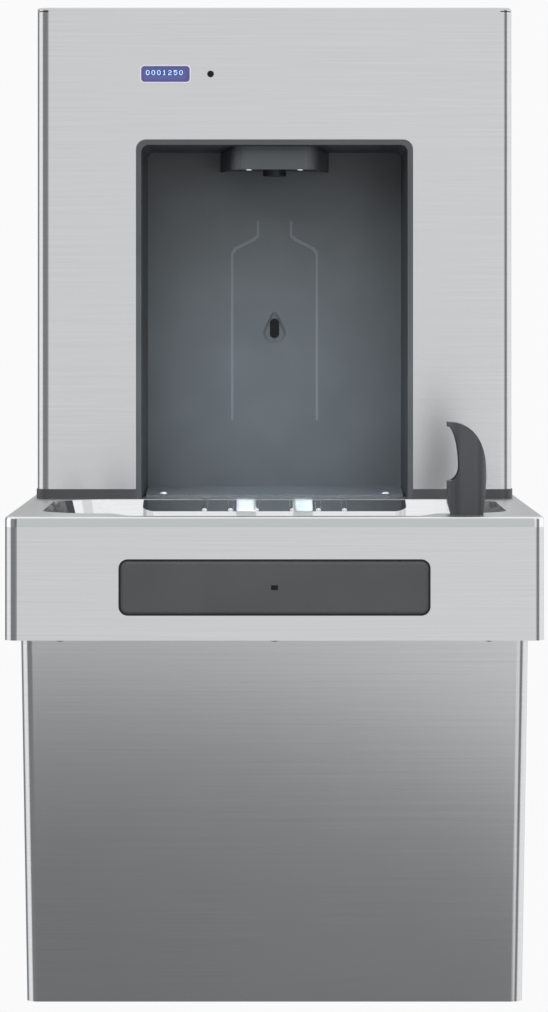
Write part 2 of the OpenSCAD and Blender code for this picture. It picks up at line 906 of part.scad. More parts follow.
module water_tubes() {
  color([0.92, 0.93, 0.95]) {
    pipe_run([
      [valve_x, riser_y, valve_z + coil_r],
      [valve_x, riser_y, roof_front_z + liner_t + 2 * tube_r],
      [valve_x, -panel_y / 2, roof_front_z + liner_t + 2 * tube_r],
      [0, -panel_y / 2, roof_front_z + liner_t + 2 * tube_r],
      [0, -panel_y / 2, tube_z],
      [0, -outlet_y, tube_z],
      [0, -outlet_y, hood_foot_z + hood_t + seat_gap]
    ], tube_r);
    pipe_run([
      [stub_x(0), stub_y(0), stub_top_z + seat_gap],
      [stub_x(0), stub_y(0), stub_top_z + 5 * tube_r],
      [stub_x(0), riser_y, stub_top_z + 5 * tube_r],
      [valve_x, riser_y, stub_top_z + 5 * tube_r],
      [valve_x, riser_y, valve_z - coil_r]
    ], tube_r);
    pipe_run([
      [stub_x(1), stub_y(1), stub_top_z + seat_gap],
      [stub_x(1), stub_y(1), feed_z],
      [stub_x(1), feed_y, feed_z],
      [feed_x - 5 * tube_r - seat_gap, feed_y, feed_z]
    ], tube_r);
    pipe_run([
      [feed_x + 5 * tube_r + seat_gap, feed_y, feed_z],
      [bubbler_x, feed_y, feed_z],
      [bubbler_x, bubbler_y, feed_z],
      [bubbler_x, bubbler_y, deck_z - bowl_depth - seat_gap]
    ], tube_r);
    pipe_run([
      [filter_x + filter_r + 2 * tube_r + seat_gap, filter_y, port_z],
      [filter_x + filter_r + 5 * tube_r, filter_y, port_z],
      [filter_x + filter_r + 5 * tube_r, filter_y, stub_top_z + 8 * tube_r],
      [filter_x + filter_r + 5 * tube_r, stub_y(2), stub_top_z + 8 * tube_r],
      [stub_x(2), stub_y(2), stub_top_z + 8 * tube_r],
      [stub_x(2), stub_y(2), stub_top_z + seat_gap]
    ], tube_r);
  }
}

// Solenoid valve of the bubbler
pan_top_z = fascia_foot_z + sheet_t + steel_t;
feed_x = 0.62 * bubbler_x;
feed_y = bubbler_y + 2 * guard_d + spring_room + bar_h;
feed_z = pan_top_z + 8 * tube_r;

module bubbler_valve() {
  body_r = 2 * tube_r;
  color(brass_c)
    translate([feed_x - 5 * tube_r, feed_y, feed_z])
      rotate([0, 90, 0])
        cylinder(r = body_r, h = 10 * tube_r);
  color(black)
    rod_up([feed_x, feed_y, feed_z], 3.4 * tube_r, 8 * tube_r);
  color(zinc)
    block([feed_x - body_r, feed_y - body_r / 2, pan_top_z], [2 * body_r, body_r, feed_z - pan_top_z]);
}

// Basin

// A level of the bowl or of its cove: the outline drawn in, as a thin slab
module bowl_level(cove, inset, z, slab) {
  depth = bowl_back_y - bowl_front_y;
  cove_y = front_y + cove_strip + cove_r + inset;
  if (cove)
    for (side = [-1, 1], row = [0, 1])
      translate([
        side * (cove_w / 2 + row * cove_flare - cove_r - inset),
        cove_y + row * (bowl_front_strip - cove_strip),
        z
      ])
        cylinder(r = cove_r, h = slab, $fn = blend_fn);
  else
    translate([0, bowl_mid_y, z])
      linear_extrude(slab)
        round_rect(bowl_w - 2 * inset, depth - 2 * inset, bowl_r - inset, $fn = blend_fn);
}

// The bowl as a solid, grown by a wall thickness
module bowl_block(grow) {
  knee = bowl_floor_r * 0.3;
  slab = seat_gap;
  for (cove = [false, true])
    hull() {
      bowl_level(cove, -grow, deck_z - slab, slab);
      bowl_level(cove, bowl_lean - bowl_lean / 4 - grow, bowl_floor_z + bowl_floor_r - grow, slab);
      bowl_level(cove, bowl_lean + knee - grow, bowl_floor_z + knee - grow, slab);
      bowl_level(cove, bowl_lean + bowl_floor_r - grow, bowl_floor_z - grow, slab);
    }
}

// The ledge as a solid that fills the back of the bowl
module ledge_block(sink) {
  top = deck_z - ledge_step - sink;
  nose = bowl_back_y - ledge_d + sink;
  intersection() {
    across_x(2 * (ledge_r - sink))
      polygon([
        [bowl_back_y + over, top],
        [bowl_back_y, top],
        [nose, top - ledge_fall],
        [nose - bowl_lean / 4, bowl_floor_z - 2 * sink],
        [bowl_back_y + over, bowl_floor_z - 2 * sink]
      ]);
    translate([0, bowl_back_y, bowl_floor_z - over])
      linear_extrude(bowl_depth + over)
        round_rect(2 * (ledge_r - sink), 2 * (ledge_d + bowl_lean / 4 - sink), ledge_d / 2 - sink);
  }
}

module ledge_ribs() {
  slope = atan(ledge_fall / ledge_d);
  run = ledge_d / cos(slope) - 4 * rib_r;
  for (side = [-1, 1], i = [0 : rib_n - 1])
    translate([side * (rib_x + i * rib_pitch), bowl_back_y, deck_z - ledge_step - rib_r / 4])
      rotate([90 + slope, 0, 0])
        translate([0, 0, 2 * rib_r]) {
          cylinder(r = rib_r, h = run);
          sphere(rib_r);
          translate([0, 0, run])
            sphere(rib_r);
        }
}

module basin() {
  color(bright)
    difference() {
      union() {
        translate([0, 0, deck_z])
          rolled_tray(unit_w, unit_d, corner_r, roll_r, sheet_t, lip_h);
        intersection() {
          bowl_block(sheet_t);
          translate([0, 0, bowl_floor_z - sheet_t])
            linear_extrude(bowl_depth + sheet_t)
              square([unit_w, 2 * unit_d], center = true);
        }
      }
      difference() {
        union() {
          bowl_block(0);
          bowl_level(false, 0, deck_z - seat_gap, over);
          hull()
            bowl_level(true, 0, deck_z - seat_gap, over);
        }
        ledge_block(0);
        ledge_ribs();
      }
      intersection() {
        ledge_block(sheet_t);
        translate([0, bowl_back_y - ledge_d - sheet_t, bowl_floor_z])
          cube([2 * ledge_r, 2 * ledge_d, 2 * bowl_depth], center = true);
      }
      hole_z([0, -drain_y, bowl_floor_z], drain_r);
      hole_z([bubbler_x, bubbler_y, deck_z], shank_r + seat_gap);
      for (side = [-1, 1])
        hole_z([side * valve_x, riser_y, deck_z], 3 * tube_r);
      for (side = [-1, 1])
        hole_z([side * sill_screw_x, panel_face_y - seat_gap - sill_d + screw_y_in, deck_z],
          screw_head_r / 2 + seat_gap);
    }
}

strainer_t = 1.6 * sheet_t;

module drain_strainer() {
  slot_w = drain_r / 8;
  color(bright)
    translate([0, -drain_y, bowl_floor_z])
      difference() {
        union() {
          cylinder(r = drain_r + 3 * slot_w, h = strainer_t / 2);
          cylinder(r = drain_r + 2 * slot_w, h = strainer_t);
        }
        for (ring = [1 : 2], i = [0 : 6 * ring - 1])
          rotate([0, 0, i * 60 / ring])
            rod_up([ring * drain_r / 2.7, 0, -over], slot_w, strainer_t + 2 * over);
      }
}

flange_foot_z = bowl_floor_z - sheet_t - 2 * strainer_t;

module drain_tailpiece() {
  bore = waste_r - waste_t;
  nut_r = waste_r + 3 * waste_t;
  color(bright)
    translate([0, -drain_y, 0])
      difference() {
        union() {
          rod_up([0, 0, flange_foot_z], drain_r + 2 * waste_t, 2 * strainer_t);
          rod_up([0, 0, flange_foot_z - waste_r], waste_r, waste_r);
          translate([0, 0, flange_foot_z - waste_r])
            cylinder(r = nut_r, h = 0.6 * waste_r, $fn = 8);
        }
        rod_up([0, 0, flange_foot_z - waste_r - over], bore, bowl_depth);
      }
}

// Waste pipe: a bend and a level run
module waste_pipe() {
  bend_r = 1.4 * waste_r;
  top = flange_foot_z - waste_r;
  color([0.85, 0.86, 0.88]) {
    difference() {
      rod_up([0, -drain_y, waste_z + bend_r], waste_r, top - waste_z - bend_r);
      rod_up([0, -drain_y, waste_z + bend_r - over], waste_r - waste_t, bowl_depth + top - waste_z);
    }
    translate([0, -drain_y + bend_r, waste_z + bend_r])
      rotate([0, 90, 0])
        rotate([0, 0, -90])
          rotate_extrude(angle = 90)
            translate([bend_r, 0])
              difference() {
                circle(waste_r);
                circle(waste_r - waste_t);
              }
    difference() {
      union() {
        rod_front([0, -steel_t, waste_z], waste_r, drain_y - bend_r - steel_t);
        rod_front([0, -steel_t - waste_end, waste_z], waste_r + 2 * waste_t, waste_r);
      }
      rod_front([0, over, waste_z], waste_r - waste_t, drain_y - bend_r + over);
    }
  }
}

// Bubbler

// Half of the guard's outer curve
function guard_curve(w, h, n) = [for (i = [0 : n])
  [w * pow(sin(90 * i / n), guard_square_share), h * pow(cos(90 * i / n), guard_square_share)]];

module guard_outline() {
  left = -guard_w / 2;
  foot_in = guard_w / 11;
  translate([left, 0])
    polygon(concat(
      [for (p = guard_curve(guard_w, guard_h - guard_knee, 10)) [p[0], p[1] + guard_knee]],
      [[guard_w - foot_in, 0], [foot_in, 0], [0, guard_knee / 3]]));
}

module mouth_outline(depth) {
  rise = guard_h - guard_jaw - guard_t;
  translate([-guard_w / 2, guard_jaw]) {
    polygon(concat(
      [for (i = [0 : 8])
        [depth * sin(90 * i / 8), rise / 4 + 3 * rise / 4 * cos(90 * i / 8)]],
      [for (i = [1 : 5])
        [depth * cos(90 * i / 5), rise / 4 - rise / 4 * sin(90 * i / 5)]],
      [[-over, 0], [-over, rise]]));
  }
}

module bubbler_guard() {
  shoulder = guard_d / 3;
  color(dark)
    translate([bubbler_x, bubbler_y, deck_z])
      difference() {
        intersection() {
          between_y(guard_d / 2, -guard_d / 2)
            guard_outline();
          linear_extrude(guard_h) {
            round_rect(guard_w, guard_d, shoulder);
            translate([-guard_w / 2, -guard_d / 2 + guard_t])
              square([guard_w / 2, guard_d - 2 * guard_t]);
          }
        }
        between_y(guard_d, -guard_d)
          mouth_outline(mouth_d);
        between_y(guard_d / 2 - guard_t, -guard_d / 2 + guard_t)
          mouth_outline(scoop_d);
        rod_up([0, 0, -over], shank_r + seat_gap, guard_jaw / 2 + over);
        cylinder(r = spout_r + seat_gap, h = guard_h / 2);
      }
}

module bubbler_spout() {
  color(bright)
    translate([bubbler_x, bubbler_y, deck_z]) {
      difference() {
        union() {
          rod_up([0, 0, -bowl_depth], shank_r, bowl_depth + guard_jaw / 2 - seat_gap);
          cylinder(r = spout_r, h = guard_jaw + spout_r);
          translate([0, 0, guard_jaw + spout_r])
            sphere(spout_r);
        }
        rod_up([0, 0, -bowl_depth - over], spout_r / 2, bowl_depth + guard_jaw);
        translate([0, 0, guard_jaw + spout_r])
          rotate([0, -45, 0])
            cylinder(r = spout_r / 3, h = 2 * spout_r);
      }
    }
}

module bubbler_nut() {
  nut_r = 1.8 * shank_r;
  color(brass_c)
    translate([bubbler_x, bubbler_y, deck_z - sheet_t])
      difference() {
        union() {
          translate([0, 0, -shank_r])
            cylinder(r = nut_r, h = shank_r - sheet_t, $fn = 6);
          rod_up([0, 0, -sheet_t], nut_r, sheet_t);
        }
        rod_up([0, 0, -shank_r - over], shank_r + seat_gap, shank_r + 2 * over);
      }
}

// Fascia and push bar

// Width of the fold along the fascia's foot
fold = 3 * corner_r / 2;

module fascia() {
  color(steel)
    difference() {
      union() {
        translate([0, 0, fascia_foot_z])
          linear_extrude(fascia_h - lip_h)
            front_wall(unit_w, unit_d, corner_r, sheet_t);
        translate([0, 0, fascia_foot_z])
          linear_extrude(sheet_t)
            difference() {
              front_round(unit_w, unit_d, corner_r);
              translate([-unit_w / 2 + fold, -unit_d + fold])
                square([unit_w - 2 * fold, unit_d]);
              translate([-unit_w, -lower_top_d])
                square([2 * unit_w, unit_d]);
            }
      }
      translate([0, 0, bar_mid_z])
        between_y(front_y + sheet_t + over, front_y - over)
          round_rect(bar_w + 2 * bar_gap, bar_h + 2 * bar_gap, bar_r + bar_gap);
      for (x = [-fascia_screw_x, 0, fascia_screw_x])
        hole_z([x, front_y + fold / 2, fascia_foot_z], screw_head_r / 2 + seat_gap);
    }
}

module fascia_screws() {
  color(bright)
    for (x = [-fascia_screw_x, 0, fascia_screw_x])
      translate([x, front_y + fold / 2, fascia_foot_z])
        mirror([0, 0, 1])
          pan_screw(screw_head_r, 3 * screw_head_r);
}

module under_pan() {
  inner_w = unit_w - 2 * sheet_t - 2 * seat_gap;
  pan_back = -(lower_top_d - sheet_t);
  color(zinc)
    translate([0, 0, fascia_foot_z + sheet_t])
      difference() {
        linear_extrude(steel_t)
          intersection() {
            front_round(inner_w, unit_d - sheet_t - seat_gap, corner_r - sheet_t);
            translate([-unit_w / 2, -unit_d])
              square([unit_w, unit_d + pan_back + lip_h]);
          }
        for (x = [-fascia_screw_x, 0, fascia_screw_x])
          hole_z([x, front_y + fold / 2, 0], screw_head_r / 2 + seat_gap);
        for (x = [-fascia_screw_x, fascia_screw_x], y = [1 : 4])
          hole_z([x, front_y + fold + y * corner_r * 3, 0], screw_head_r);
      }
}

module bar_slab(inset, back, front) {
  between_y(back, front)
    round_rect(bar_w - 2 * inset, bar_h - 2 * inset, bar_r - inset, $fn = blend_fn);
}

window_w = bar_h / 8;
window_h = 2 * window_w / 3;

module push_bar() {
  back_pocket = bar_t - 4 * sheet_t;
  flange_y = front_y + sheet_t + seat_gap;
  color(dark)
    translate([0, 0, bar_mid_z])
      difference() {
        union() {
          hull() {
            bar_slab(0, bar_back_y, bar_front_y + bar_edge);
            bar_slab(bar_edge * 0.3, bar_back_y, bar_front_y + bar_edge * 0.3);
            bar_slab(bar_edge, bar_back_y, bar_front_y);
          }
          between_y(flange_y + 2 * sheet_t, flange_y)
            round_rect(bar_w + 2 * bar_flange, bar_h + 2 * bar_flange, bar_r + bar_flange);
        }
        for (side = [-1, 1])
          translate([side * bar_w / 4, bar_back_y - back_pocket / 2, 0])
            cube([bar_w / 2 - 2 * (bar_w / 2 - pin_x) + 2 * pin_r,
              back_pocket, bar_h / 4], center = true);
        between_y(bar_front_y + bar_edge, bar_front_y - over)
          square([window_w + seat_gap, window_h + seat_gap], center = true);
      }
}

module bar_window() {
  color(black)
    translate([0, 0, bar_mid_z])
      between_y(bar_front_y + bar_edge, bar_front_y + seat_gap / 2)
        square([window_w, window_h], center = true);
}

bush_l = spring_room;
pin_l = spring_room + bush_l + bar_travel;

module guide_pins() {
  color(bright)
    for (side = [-1, 1])
      translate([side * pin_x, bar_back_y, bar_mid_z])
        rotate([-90, 0, 0]) {
          cylinder(r = pin_r, h = pin_l);
          cylinder(r = 2 * pin_r, h = 1.2 * wire_r);
        }
}

module guide_bushes() {
  color([0.93, 0.92, 0.88])
    for (side = [-1, 1])
      translate([side * pin_x, bush_front_y, bar_mid_z])
        rotate([-90, 0, 0])
          difference() {
            union() {
              cylinder(r = 1.6 * pin_r, h = bush_l);
              cylinder(r = 2.2 * pin_r, h = bush_l / 4);
            }
            rod_up([0, 0, -over], pin_r + run_gap, bush_l + 2 * over);
          }
}

// A helical wire: rings of points along the helix
function helix_points(r, wire, pitch, turns, per_turn, sides) =
  [for (i = [0 : turns * per_turn], k = [0 : sides - 1])
    let(a = 360 * i / per_turn, b = 360 * k / sides)
    [(r + wire * cos(b)) * cos(a), (r + wire * cos(b)) * sin(a),
      pitch * i / per_turn + wire * sin(b)]];

function tube_faces(rings, sides) = concat(
  [for (i = [0 : rings - 2], k = [0 : sides - 1])
    [i * sides + k, (i + 1) * sides + k, (i + 1) * sides + (k + 1) % sides]],
  [for (i = [0 : rings - 2], k = [0 : sides - 1])
    [i * sides + k, (i + 1) * sides + (k + 1) % sides, i * sides + (k + 1) % sides]],
  [for (k = [1 : sides - 2]) [0, k, k + 1]],
  [for (k = [1 : sides - 2])
    [(rings - 1) * sides, (rings - 1) * sides + k + 1, (rings - 1) * sides + k]]);

module return_springs() {
  per_turn = 12;
  sides = 6;
  coil_r = pin_r + 2 * wire_r + seat_gap;
  room = spring_room - 1.2 * wire_r - 2 * wire_r - 2 * seat_gap;
  color(bright)
    for (side = [-1, 1])
      translate([side * pin_x, bar_back_y + 1.2 * wire_r + wire_r + seat_gap, bar_mid_z])
        rotate([-90, 0, 0])
          polyhedron(
            helix_points(coil_r, wire_r, room / spring_turns, spring_turns, per_turn, sides),
            tube_faces(spring_turns * per_turn + 1, sides));
}

bracket_y = bush_front_y + bush_l / 4;
bracket_w = 2 * pin_x + 12 * pin_r;

module bar_bracket() {
  leg = bush_l + 2 * bar_travel;
  rise = bar_mid_z - fascia_foot_z - sheet_t - steel_t;
  color(zinc)
    difference() {
      union() {
        block([-bracket_w / 2, bracket_y, fascia_foot_z + sheet_t + steel_t],
          [bracket_w, steel_t, rise + 3 * pin_r]);
        block([-bracket_w / 2, bracket_y, fascia_foot_z + sheet_t + steel_t], [bracket_w, leg, steel_t]);
        for (x = [-bracket_w / 2, -steel_t / 2, bracket_w / 2 - steel_t])
          translate([x, 0, 0])
            rotate([90, 0, 90])
              linear_extrude(steel_t)
                polygon([
                  [bracket_y, fascia_foot_z + sheet_t + steel_t],
                  [bracket_y + leg, fascia_foot_z + sheet_t + steel_t],
                  [bracket_y, bar_mid_z]
                ]);
      }
      for (side = [-1, 1])
        hole_y([side * pin_x, bracket_y, bar_mid_z], 1.6 * pin_r + seat_gap);
      hole_y([switch_x, bracket_y, bar_mid_z], 2 * plunger_r + seat_gap);
    }
}

switch_front_y = bracket_y - bar_travel / 2;
plunger_l = bracket_y - bar_back_y + 2 * bar_travel;

module switch_body() {
  size = 5 * plunger_r;
  color(black)
    difference() {
      union() {
        rod_back([switch_x, switch_front_y, bar_mid_z], 2 * plunger_r, bar_travel);
        block([switch_x - size / 2, bracket_y + steel_t, bar_mid_z - size], [size, plunger_l, 2 * size]);
      }
      rod_back([switch_x, switch_front_y - over, bar_mid_z],
        plunger_r + run_gap, plunger_l + bar_travel + over);
    }
}

module switch_plunger() {
  color([0.75, 0.15, 0.12])
    rod_back([switch_x, bar_back_y + seat_gap, bar_mid_z], plunger_r, plunger_l);
}

// Lower cabinet

// Keeps what lies between the fascia's foot and the cabinet's foot
module lower_zone() {
  intersection() {
    children();
    block([-unit_w, -unit_d, foot_z], [2 * unit_w, unit_d, fascia_foot_z - foot_z]);
  }
}

// A straight wall outline along the sloping front
module sloped(grow_in) {
  rise = fascia_foot_z - foot_z;
  translate([0, -lower_foot_d, foot_z])
    rotate([lower_tilt, 0, 0])
      translate([0, lower_top_d, -rise])
        linear_extrude(3 * rise)
          front_round(unit_w - 2 * grow_in, lower_top_d - grow_in, corner_r - grow_in);
}

module lower_wrapper() {
  color(steel)
    difference() {
      lower_zone()
        difference() {
          union() {
            sloped(0);
            block([-unit_w / 2, -lower_foot_d / 2, foot_z], [unit_w, lower_foot_d / 2, lower_h]);
          }
          sloped(sheet_t);
          block([-unit_w / 2 + sheet_t, -lower_foot_d + corner_r + sheet_t, foot_z - over],
            [unit_w - 2 * sheet_t, lower_foot_d, lower_h + 2 * over]);
        }
      for (side = [-1, 1], i = [0 : louvre_n - 1])
        translate([side * unit_w / 2, -cool_y, foot_z + 2 * louvre_pitch + i * louvre_pitch])
          cube([4 * sheet_t, louvre_w, louvre_h], center = true);
    }
}

module bottom_panel() {
  panel_w = unit_w - 2 * sheet_t - 2 * seat_gap;
  panel_d = lower_foot_d - 2 * sheet_t;
  screw_y = -lower_foot_d + corner_r;
  color(zinc)
    difference() {
      union() {
        translate([0, 0, foot_z])
          linear_extrude(steel_t)
            front_round(panel_w, panel_d, corner_r - sheet_t);
        block([-panel_w / 2, -2 * back_flange, foot_z], [panel_w, steel_t, 2 * steel_t]);
      }
      for (side = [-1, 1], i = [0 : louvre_n - 1])
        translate([side * comp_x, -cool_y - louvre_pitch * (i - louvre_n / 2) , foot_z])
          cube([louvre_w, louvre_h, 6 * steel_t], center = true);
      for (side = [-1, 1])
        hole_z([side * foot_screw_x, screw_y, foot_z], screw_head_r / 2 + seat_gap);
    }
}

module bottom_screws() {
  screw_y = -lower_foot_d + corner_r;
  color(bright)
    for (side = [-1, 1])
      translate([side * foot_screw_x, screw_y, foot_z])
        mirror([0, 0, 1])
          pan_screw(screw_head_r, 2 * screw_head_r);
}

// Holes in the back plate
inlet_x = 60;
inlet_z = 30;
gland_x = 0;
gland_z = -40;
gland_r = 9;
gland_bore = 4.5;

shelf_z = foot_z + 4 * louvre_h;

module chassis() {
  plate_w = unit_w - 2 * sheet_t - 2 * seat_gap;
  plate_top = deck_z - roll_r - seat_gap;
  plate_foot = foot_z + steel_t + seat_gap;
  shelf_d = lower_foot_d - 2 * corner_r;
  color(zinc)
    difference() {
      union() {
        block([-plate_w / 2, -steel_t, plate_foot], [plate_w, steel_t, plate_top - plate_foot]);
        for (side = [0, 1])
          mirror([side, 0, 0])
            block([plate_w / 2 - steel_t, -back_flange, plate_foot],
              [steel_t, back_flange, plate_top - plate_foot]);
        block([-plate_w / 2, -shelf_d, shelf_z], [plate_w, shelf_d, steel_t]);
        block([-plate_w / 2, -shelf_d, plate_foot], [plate_w, steel_t, shelf_z - plate_foot]);
      }
      for (sx = [-1, 1], sz = [-1, 1])
        hole_y([sx * bolt_x / 2, 0, sz * bolt_z / 2], bolt_r);
      hole_y([0, 0, waste_z], 2 * waste_r);
      hole_y([inlet_x, 0, inlet_z], 2 * gland_r);
      hole_y([gland_x, 0, gland_z], gland_r + seat_gap);
    }
}

feet_at = [for (sx = [-1, 1], sy = [-1, 1]) [sx * comp_r * 0.8, sy * comp_r * 0.8]];
feet_h = comp_r / 4;

module compressor() {
  body_r = comp_r;
  dome = comp_h * 0.26;
  base = shelf_z + steel_t + feet_h;
  color(black)
    translate([-comp_x, -cool_y, base]) {
      translate([0, 0, 3 * steel_t])
        rotate_extrude()
          intersection() {
            union() {
              translate([0, dome])
                square([body_r, comp_h - 2 * dome]);
              for (z = [dome, comp_h - dome])
                translate([body_r - dome, z])
                  circle(dome);
              square([body_r - dome, comp_h]);
            }
            square([body_r, comp_h]);
          }
      rod_up([0, 0, 3 * steel_t + comp_h / 2], body_r + steel_t, 2 * steel_t);
      difference() {
        linear_extrude(2 * steel_t)
          round_rect(2 * comp_r, 2 * comp_r, comp_r / 4);
        for (p = feet_at)
          rod_up([p[0], p[1], -over], comp_r / 12 + seat_gap, 2 * steel_t + 2 * over);
      }
      cylinder(r = body_r / 2, h = 2 * dome);
    }
}

module compressor_feet() {
  color([0.12, 0.12, 0.12])
    for (p = feet_at)
      translate([-comp_x + p[0], -cool_y + p[1], shelf_z + steel_t]) {
        cylinder(r = comp_r / 7, h = feet_h);
        cylinder(r = comp_r / 12, h = feet_h + 4 * steel_t);
      }
}

module terminal_cover() {
  cover = comp_r * 0.55;
  lift = shelf_z + feet_h + comp_h / 4;
  color(dark)
    difference() {
      block([-comp_x + comp_r - cover / 4, -cool_y - cover / 2, lift], [cover * 0.75, cover, cover]);
      rod_up([-comp_x, -cool_y, lift - over], comp_r + seat_gap, cover + 2 * over);
    }
}

// Condenser, shroud and fan: air leaves by the louvres on the right
cool_x = unit_w / 2 - sheet_t - steel_t;
cond_t = 26;
cond_x = cool_x - cond_t - 2 * steel_t;
cool_z = shelf_z + steel_t + shroud_s / 2;
fin_pitch = shroud_s / (fin_n - 1);

cond_rows = 4;
row_pitch = shroud_s / cond_rows;
function row_z(i) = cool_z - shroud_s / 2 + row_pitch * (i + 0.5);

module condenser() {
  coil_x = cond_x + cond_t / 2;
  half = shroud_s / 2 + tube_r;
  color(copper)
    for (i = [0 : cond_rows - 1]) {
      rod_front([coil_x, -cool_y + half, row_z(i)], tube_r, 2 * half);
      if (i < cond_rows - 1)
        translate([coil_x, -cool_y + (i % 2 == 0 ? half : -half), row_z(i) + row_pitch / 2])
          rotate([0, 90, 0])
            rotate([0, 0, i % 2 == 0 ? 0 : 180])
              rotate_extrude(angle = 180)
                translate([row_pitch / 2, 0])
                  circle(tube_r);
    }
  color([0.72, 0.73, 0.75])
    for (i = [0 : fin_n - 1])
      block([cond_x, -cool_y - shroud_s / 2 + i * fin_pitch - steel_t / 4, cool_z - shroud_s / 2],
        [cond_t, steel_t / 2, shroud_s]);
}

shroud_t = 20;
shroud_x = cond_x - shroud_t;

module fan_shroud() {
  color(black)
    translate([shroud_x, -cool_y, cool_z])
      rotate([90, 0, 90])
        difference() {
          linear_extrude(shroud_t)
            round_rect(shroud_s, shroud_s, fan_r / 6);
          rod_up([0, 0, -over], fan_r + 2 * steel_t, shroud_t + 2 * over);
        }
  color(black)
    translate([shroud_x - steel_t, -cool_y, cool_z])
      rotate([90, 0, 90])
        linear_extrude(2 * steel_t)
          difference() {
            union() {
              for (a = [0, 60, 120])
                rotate(a)
                  square([2 * fan_r + 6 * steel_t, fan_r / 8], center = true);
              circle(fan_r / 3);
            }
            circle(fan_shaft_r * 2);
          }
}

fan_shaft_r = 3;
motor_l = fan_r * 0.9;

module fan_motor() {
  color(zinc)
    translate([shroud_x - steel_t, -cool_y, cool_z])
      rotate([0, -90, 0]) {
        cylinder(r = fan_r / 2.4, h = motor_l);
        cylinder(r = fan_r / 2, h = motor_l / 6);
      }
  color(bright)
    translate([shroud_x - steel_t, -cool_y, cool_z])
      rotate([0, 90, 0])
        cylinder(r = fan_shaft_r, h = shroud_t * 0.8 + steel_t);
}

module fan_blades() {
  hub_r = fan_r / 4;
  hub_l = shroud_t / 2;
  color([0.85, 0.85, 0.82])
    translate([shroud_x + shroud_t / 3, -cool_y, cool_z])
      rotate([0, 90, 0])
        difference() {
          union() {
            cylinder(r = hub_r, h = hub_l);
            for (i = [0 : blade_n - 1])
              rotate([0, 0, i * 360 / blade_n])
                intersection() {
                  translate([hub_r * 0.8, 0, hub_l / 2])
                    rotate([28, 0, 0])
                      block([0, -hub_r, -steel_t / 2], [fan_r, 2 * hub_r, steel_t]);
                  cylinder(r = fan_r, h = hub_l);
                }
          }
          rod_up([0, 0, -over], fan_shaft_r + run_gap, hub_l + 2 * over);
        }
}

tank_x = -comp_x;
stub_top_z = tank_top_z + 6 * tube_r;
// Bearings of the tank's three stubs
stub_turns = [150, 30, 270];
function stub_x(i) = tank_x + tank_r / 2 * cos(stub_turns[i]);
function stub_y(i) = tank_y + tank_r / 2 * sin(stub_turns[i]);
tank_y = -(tank_r + back_flange);
tank_foot_z = tank_top_z - tank_h;

module chiller_tank() {
  cap = tank_h / 12;
  color([0.20, 0.21, 0.22])
    translate([tank_x, tank_y, tank_foot_z])
      rotate_extrude()
        intersection() {
          union() {
            translate([0, cap])
              square([tank_r, tank_h - 2 * cap]);
            square([tank_r - cap, tank_h]);
            for (z = [cap, tank_h - cap])
              translate([tank_r - cap, z])
                circle(cap);
          }
          square([tank_r, tank_h]);
        }
  color(copper)
    for (i = [0 : 2])
      rod_up([stub_x(i), stub_y(i), tank_top_z], tube_r, stub_top_z - tank_top_z);
}

module tank_straps() {
  strap_w = tank_h / 10;
  color(zinc)
    for (z = [tank_foot_z + tank_h / 4, tank_foot_z + 3 * tank_h / 4])
      translate([tank_x, tank_y, z])
        difference() {
          union() {
            cylinder(r = tank_r + seat_gap + steel_t, h = strap_w);
            block([-tank_r - seat_gap - steel_t, 0, 0],
              [2 * (tank_r + seat_gap + steel_t), -tank_y - steel_t, strap_w]);
          }
          rod_up([0, 0, -over], tank_r + seat_gap, strap_w + 2 * over);
          block([-tank_r - seat_gap, 0, -over],
            [2 * (tank_r + seat_gap), -tank_y - 2 * steel_t, strap_w + 2 * over]);
        }
}

drier_r = 9;
drier_x = -comp_x + comp_r + 4 * drier_r;

// Copper lines round the cooling circuit
module refrigerant_line() {
  drier_l = comp_h * 0.8;
  foot = shelf_z + steel_t;
  mid = -drier_r - 2 * steel_t;
  comp_top_z = foot + feet_h + 3 * steel_t + comp_h;
  cap_z = comp_top_z + 4 * tube_r;
  tap = comp_r * 0.4;
  coil_x = cond_x + cond_t / 2;
  coil_end = -cool_y - shroud_s / 2 - tube_r - seat_gap;
  line_y = coil_end - 3 * tube_r;
  color(copper) {
    translate([drier_x, mid, foot]) {
      rod_up([0, 0, drier_r], drier_r, drier_l);
      for (z = [drier_r, drier_r + drier_l])
        translate([0, 0, z])
          sphere(drier_r);
    }
    rod_up([drier_x, mid, foot], tube_r, drier_l);
    pipe_run([
      [drier_x, mid, foot + drier_l],
      [drier_x, mid, cap_z],
      [tank_x - tap, mid, cap_z],
      [tank_x - tap, tank_y, cap_z],
      [tank_x - tap, tank_y, tank_foot_z - seat_gap]
    ], tube_r);
    pipe_run([
      [coil_x, coil_end, row_z(0)],
      [coil_x, line_y, row_z(0)],
      [drier_x, line_y, row_z(0)],
      [drier_x, mid, row_z(0)]
    ], tube_r);
    pipe_run([
      [coil_x, coil_end, row_z(cond_rows - 1)],
      [coil_x, line_y, row_z(cond_rows - 1)],
      [-comp_x, line_y, row_z(cond_rows - 1)],
      [-comp_x, -cool_y - comp_r - seat_gap, row_z(cond_rows - 1)]
    ], tube_r);
    rod_up([tank_x + tap, tank_y, comp_top_z + seat_gap], tube_r,
      tank_foot_z - comp_top_z - 2 * seat_gap);
  }
  color(zinc)
    block([drier_x - drier_r / 2, -2 * steel_t, foot + drier_r + drier_l / 2], [drier_r, steel_t, drier_r]);
}

// Water filter: head, quarter-turn cartridge and bracket
filter_y = -(filter_r + back_flange);
filter_top_z = fascia_foot_z + 4 * steel_t;
head_h = 30;
port_z = filter_top_z - head_h / 2;
cart_top_z = filter_top_z - head_h - seat_gap;

